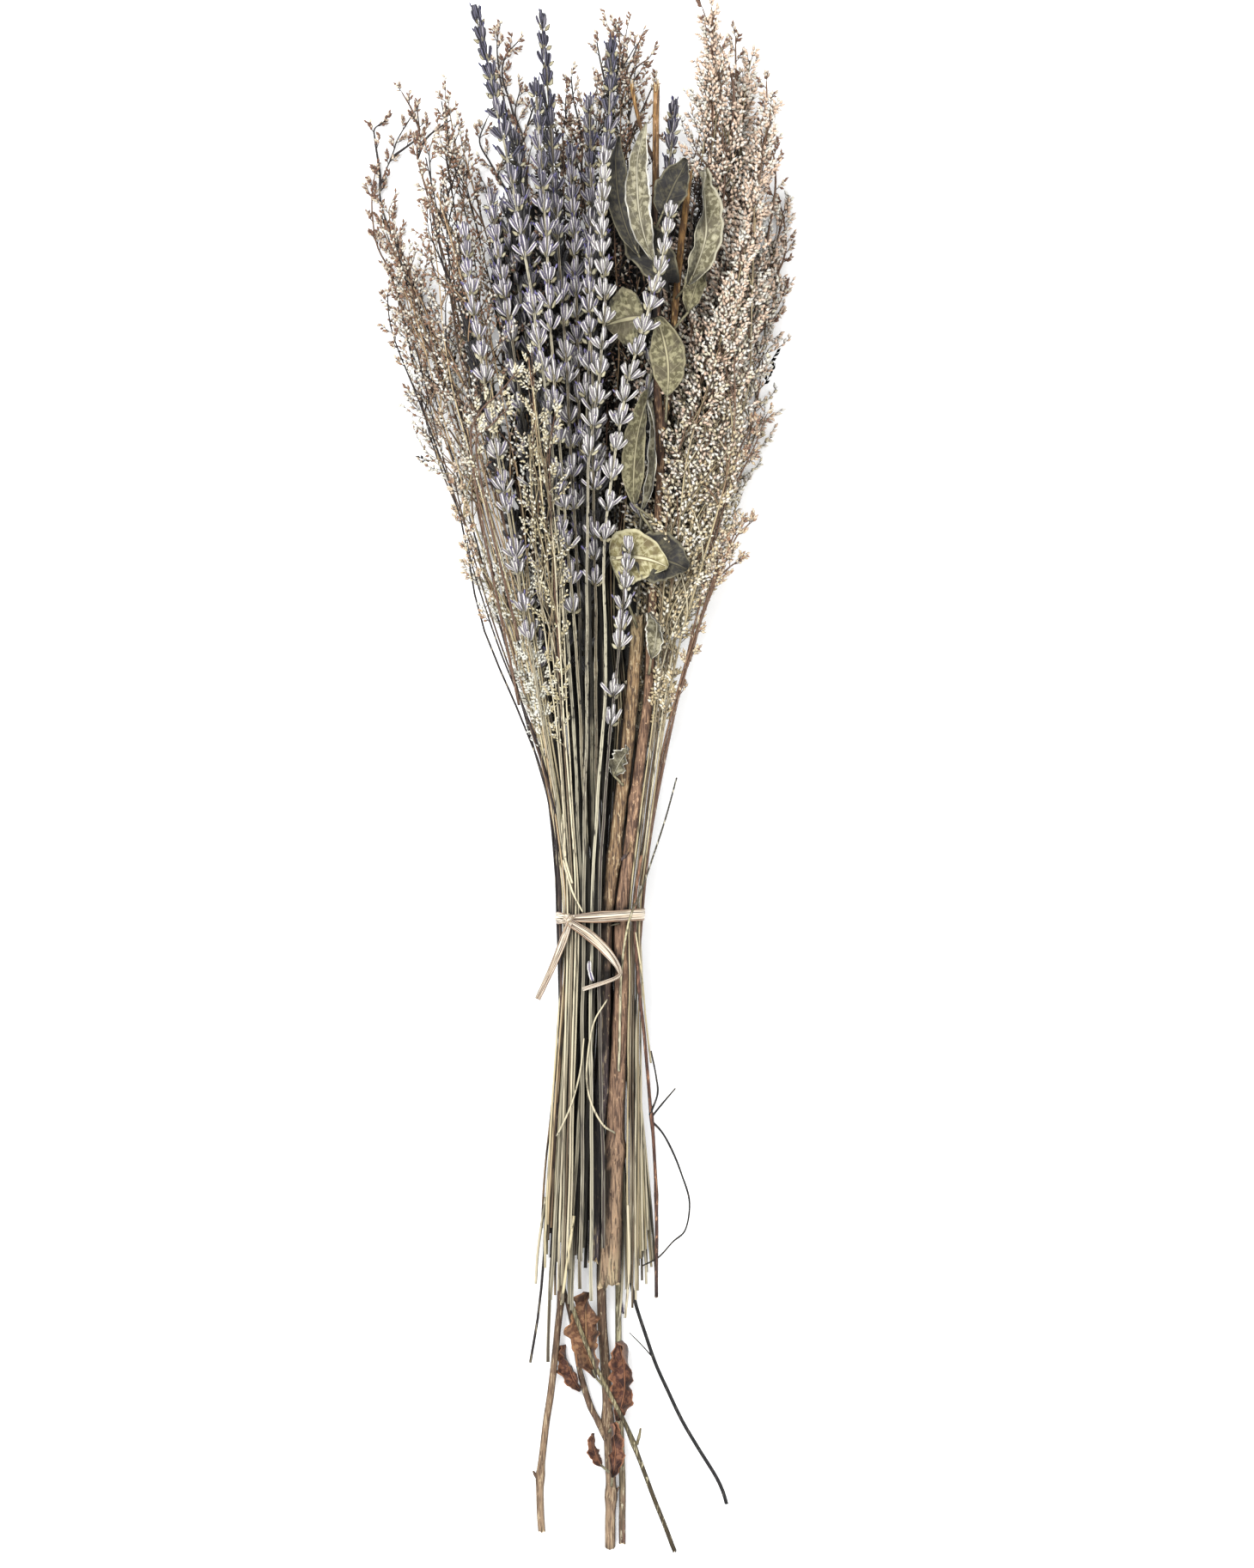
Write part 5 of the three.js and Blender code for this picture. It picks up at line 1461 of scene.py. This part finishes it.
def wisps():
    """Thin stems across the bunch and the tie, a pale bract and fallen flowers."""
    heap = Heap(LOOSE_STRAW, SPRAY_STEM, DARK_SPRAY_STEM, CALYX, BRACT, CUT)
    for material, radii, points in WISPS:
        tubes(heap, over_bunch(curve(points, WISP_POINTS), WISP_RISE), radii, 8, material, 0.05,
              end_material=CUT)
    for place, direction, tone in FALLEN_CALYCES:
        lone(CALYX_BODY, heap, CALYX, place, 0.7, direction, (1, 0, 0), 6.0, 0.95, tone)
    lone(BRACT_BODY, heap, BRACT, (15, -54.5), 0.4, (-1, -0.25, 0.1), (0, 0, 1), 4.5, 1.2, 0.95)
    heap.build("loose_wisps", "thin_stem")


# ------------------------------------------------------------------ raffia

BAND_HALF = 2.3
BAND_SLANT = 0.05
BAND_AT = (6.5, -52.0)
BAND_LEVEL = -50.1  # where the outline of the CAD tie is taken, clear of its knot
BAND_STEPS, BAND_FOLDS, BAND_LIFT = 110, 7, 0.15
GATHERED, GATHER_RISE, GATHER_SPAN = 0.42, 1.5, 0.05  # the band narrows and rises at the knot
KNOT = np.array((-4.5, -53.0))
KNOT_RISE = 3.2  # over the band
RAFFIA_THICKNESS, THIN_RAFFIA = 0.4, 0.35
# the strap at the side of the knot: x, y and depth of what it passes, from the knot down, and
# (point, half width) of its curve
WING = ((-6.5, -52.6, 0), (-9, -52.5, 3), (-10, -52.5, 10))
WING_POINTS, WRAP_POINTS, TAIL_POINTS = 18, 16, 44
WING_WIDTHS = ((0, 1.1), (5, 1.9), (12, 2.4), (17, 2.2))
# straps of the knot: where each starts and ends, its half width and its height
WRAPS = (((-2.6, 1.2), (2.4, -1.6), 1.5, 1.5), ((-1.8, -2.2), (1.9, 1.8), 1.25, 2.0),
         ((-3.0, -0.4), (2.8, 0.3), 1.1, 1.0), ((-0.6, -2.9), (-0.2, 2.4), 0.9, 1.6))
TAILS = (
    ([(-4.5, -54), (3, -59), (10, -65.5), (14.5, -72), (13.5, -75.5), (0.5, -80)],
     (1.5, 2.1, 1.9, 1.0, 0.7, 0.8)),
    ([(-4.5, -54), (-7, -61), (-11, -71), (-17, -84)], (1.2, 1.5, 1.3, 1.1)),
)


def band_outline(count):
    """The outline of the tie round the stems as x and z, starting at the knot."""
    points = max(sections("raffia_tie", BAND_LEVEL), key=lambda outline: np.ptp(outline[:, 0]))
    centre = (points.min(0) + points.max(0)) / 2
    offset = points - centre
    angle = np.arctan2(offset[:, 1], offset[:, 0])
    radius = np.hypot(*offset.T)
    start = math.atan2(points[:, 1].max() - centre[1], KNOT[0] - centre[0])
    wanted = start - np.linspace(0, TURN, count)
    order = np.argsort(angle)
    reach = np.interp(wanted, angle[order], radius[order], period=TURN)
    outer = np.array([np.max(reach[max(0, i - 1):i + 2]) for i in range(count)])
    return centre + outer[:, None] * np.column_stack([np.cos(wanted), np.sin(wanted)])


def raffia_tie():
    """A flat band with lengthwise folds, gathered into a small knot with two tails."""
    rng = seeded("raffia_tie")
    heap = Heap(RAFFIA, CUT)
    outline = band_outline(BAND_STEPS)
    y = BAND_AT[1] + BAND_SLANT * (outline[:, 0] - BAND_AT[0])
    spine = np.column_stack([outline[:, 0], y, outline[:, 1]])
    u = np.linspace(0, 1, len(spine))
    gather = np.exp(-((np.minimum(u, 1 - u)) / GATHER_SPAN) ** 2)
    spine[:, 2] += GATHER_RISE * gather
    limits = ((-0.9, 0.9), (0.1, 0.22), (-1, 1))  # where a fold is, its width and its height
    folds = [[rng.uniform(*limit) for limit in limits] for _ in range(BAND_FOLDS)]

    def lift(along, v):
        height = BAND_LIFT
        for place, width, size in folds:
            bent = place + 0.15 * np.sin(TURN * along + size)
            height = height + size * (0.14 + 0.35 * gather[:, None]) * np.exp(-((v - bent) / width) ** 2)
        return height

    half = BAND_HALF * (1 - GATHERED * gather) * (1 + 0.05 * wander(rng, u, 0.4))
    side = np.tile([-BAND_SLANT, -1, 0], (BAND_STEPS, 1))
    strip(heap, spine, half, lift, RAFFIA_THICKNESS, RAFFIA, 0.3, 21, side)
    top = outline[np.argmin(np.abs(outline[:, 0] - KNOT[0]) - 0.01 * outline[:, 1]), 1] + KNOT_RISE
    knot_wraps(heap, rng, top)
    for points, widths in TAILS:
        tail(heap, rng, points, widths, top)
    heap.build("dried_raffia_tie", "raffia", "raffia_tie")


def knot_wraps(heap, rng, top):
    """Short folded straps that cross over each other and make the knot."""
    wing = [(*KNOT, top + 1), *((x, y, top - drop) for x, y, drop in WING)]
    half = np.interp(np.arange(WING_POINTS), *zip(*WING_WIDTHS))
    strip(heap, curve(wing, WING_POINTS), half, lambda along, v: 0.35 * np.cos(4 * v),
          RAFFIA_THICKNESS, RAFFIA, 0.6, 13)
    t = np.linspace(0, 1, WRAP_POINTS)
    for start, end, half, height in WRAPS:
        spine = np.column_stack([
            KNOT + between(np.array(start), end, t[:, None]),
            top - 0.8 + (height + 0.9) * np.sin(math.pi * t) ** 0.7,
        ])
        crease = rng.uniform(-0.4, 0.4)
        narrow = half * (0.55 + 0.45 * np.sin(math.pi * t))
        strip(heap, spine, narrow, lambda along, v, c=crease: -0.35 * np.abs(v - c) - 0.3 * v**2,
              THIN_RAFFIA, RAFFIA, rng.uniform(), 11)


def tail(heap, rng, points, widths, top):
    """One end of the raffia, which lies on the stems and narrows where it is folded."""
    plan = curve(points, TAIL_POINTS)
    surface = evened(np.pad(top_of("raffia_tie", plan, top), 4, mode="edge"), np.hanning(9))
    spine = np.column_stack([plan, surface])
    spine[:4, 2] = np.maximum(spine[:4, 2], top + 0.8)
    half = np.interp(*(np.linspace(0, 1, count) for count in (TAIL_POINTS, len(widths))), widths)
    crease = rng.uniform(-0.3, 0.3)

    def lift(along, v):
        return (0.45 * np.abs(v - crease) - 0.2 + 0.12 * np.sin(9 * v + 3 * along)) * half[:, None] * 0.6

    strip(heap, spine, half, lift, THIN_RAFFIA, RAFFIA, rng.uniform(), 13, end_material=CUT)


# ------------------------------------------------------------------ the stage

# the middle of the picture, its height in mm at the level of the heads, and how far over them the
# camera is
VIEW = {"x": 17.7, "y": -0.5, "height": 604.4, "level": 40, "away": 2400}
FLOOR_HALF = 4.0  # this and the lamp's values are in metres
LAMP_SIZE, LAMP_AT = 0.6, Vector((-0.55, 0.6, 1.7))
WHITE = (1, 1, 1, 1)
FLOOR_TINTS = ((0.93, 0.93, 0.93, 1), (0.95, 0.95, 0.95, 1))


def stage_floor():
    """A pale floor that glows a little."""
    mesh = bpy.data.meshes.new("floor")
    corners = [(FLOOR_HALF * x, FLOOR_HALF * y, 0) for x, y in ((-1, -1), (1, -1), (1, 1), (-1, 1))]
    mesh.from_pydata(corners, [], [(0, 1, 2, 3)])
    make = Finish("pale_floor", roughness=0.9, gloss=0.1)
    make.shader["Emission Color"].default_value = WHITE
    make.shader["Emission Strength"].default_value = FLOOR_GLOW
    tint = make.ramp(make.noise(40), *zip((0.0, 1.0), FLOOR_TINTS))
    mesh.materials.append(make.done(tint, shaded=False))
    show("floor", mesh)


def stage_light():
    """An even bright sky and one large soft lamp at the upper left."""
    world = bpy.data.worlds.new("sky")
    world.use_nodes = True
    sky = world.node_tree.nodes["Background"].inputs
    sky["Color"].default_value, sky["Strength"].default_value = WHITE, SKY
    bpy.context.scene.world = world
    lamp = bpy.data.lights.new("soft_lamp", "AREA")
    lamp.shape, lamp.size, lamp.energy = "DISK", LAMP_SIZE, LAMP
    shown = show("soft_lamp", lamp)
    shown.location = LAMP_AT
    shown.rotation_euler = (-LAMP_AT).to_track_quat("-Z", "Y").to_euler()


def stage_camera():
    """A camera straight above the bunch, with the head of the bunch at the top of its picture."""
    camera = bpy.data.cameras.new("camera")
    camera.sensor_fit = "VERTICAL"
    camera.sensor_height = 36.0
    camera.lens = camera.sensor_height * VIEW["away"] / VIEW["height"]
    camera.clip_end = 20.0
    shown = show("camera", camera)
    shown.location = (VIEW["x"] * MM, VIEW["y"] * MM, (VIEW["level"] + VIEW["away"]) * MM)
    bpy.context.scene.camera = shown
    bpy.context.scene.view_settings.view_transform = "Standard"


# ------------------------------------------------------------------ the bunch

PALE_SPRIGS = ("18", "19", "20")

for node in sorted(frame["nodes"]):
    if node.startswith("lavender_sprig"):
        lavender_sprig(node, pale=node[-2:] in PALE_SPRIGS)
    elif node.startswith("sea_lavender"):
        sea_lavender(node, SPRAYS[node[-2:]])
    elif node in LEAVES:
        leaf(node)
branches()
loose_leaves()
back_leaves()
wisps()
raffia_tie()
stage_floor()
stage_light()
stage_camera()
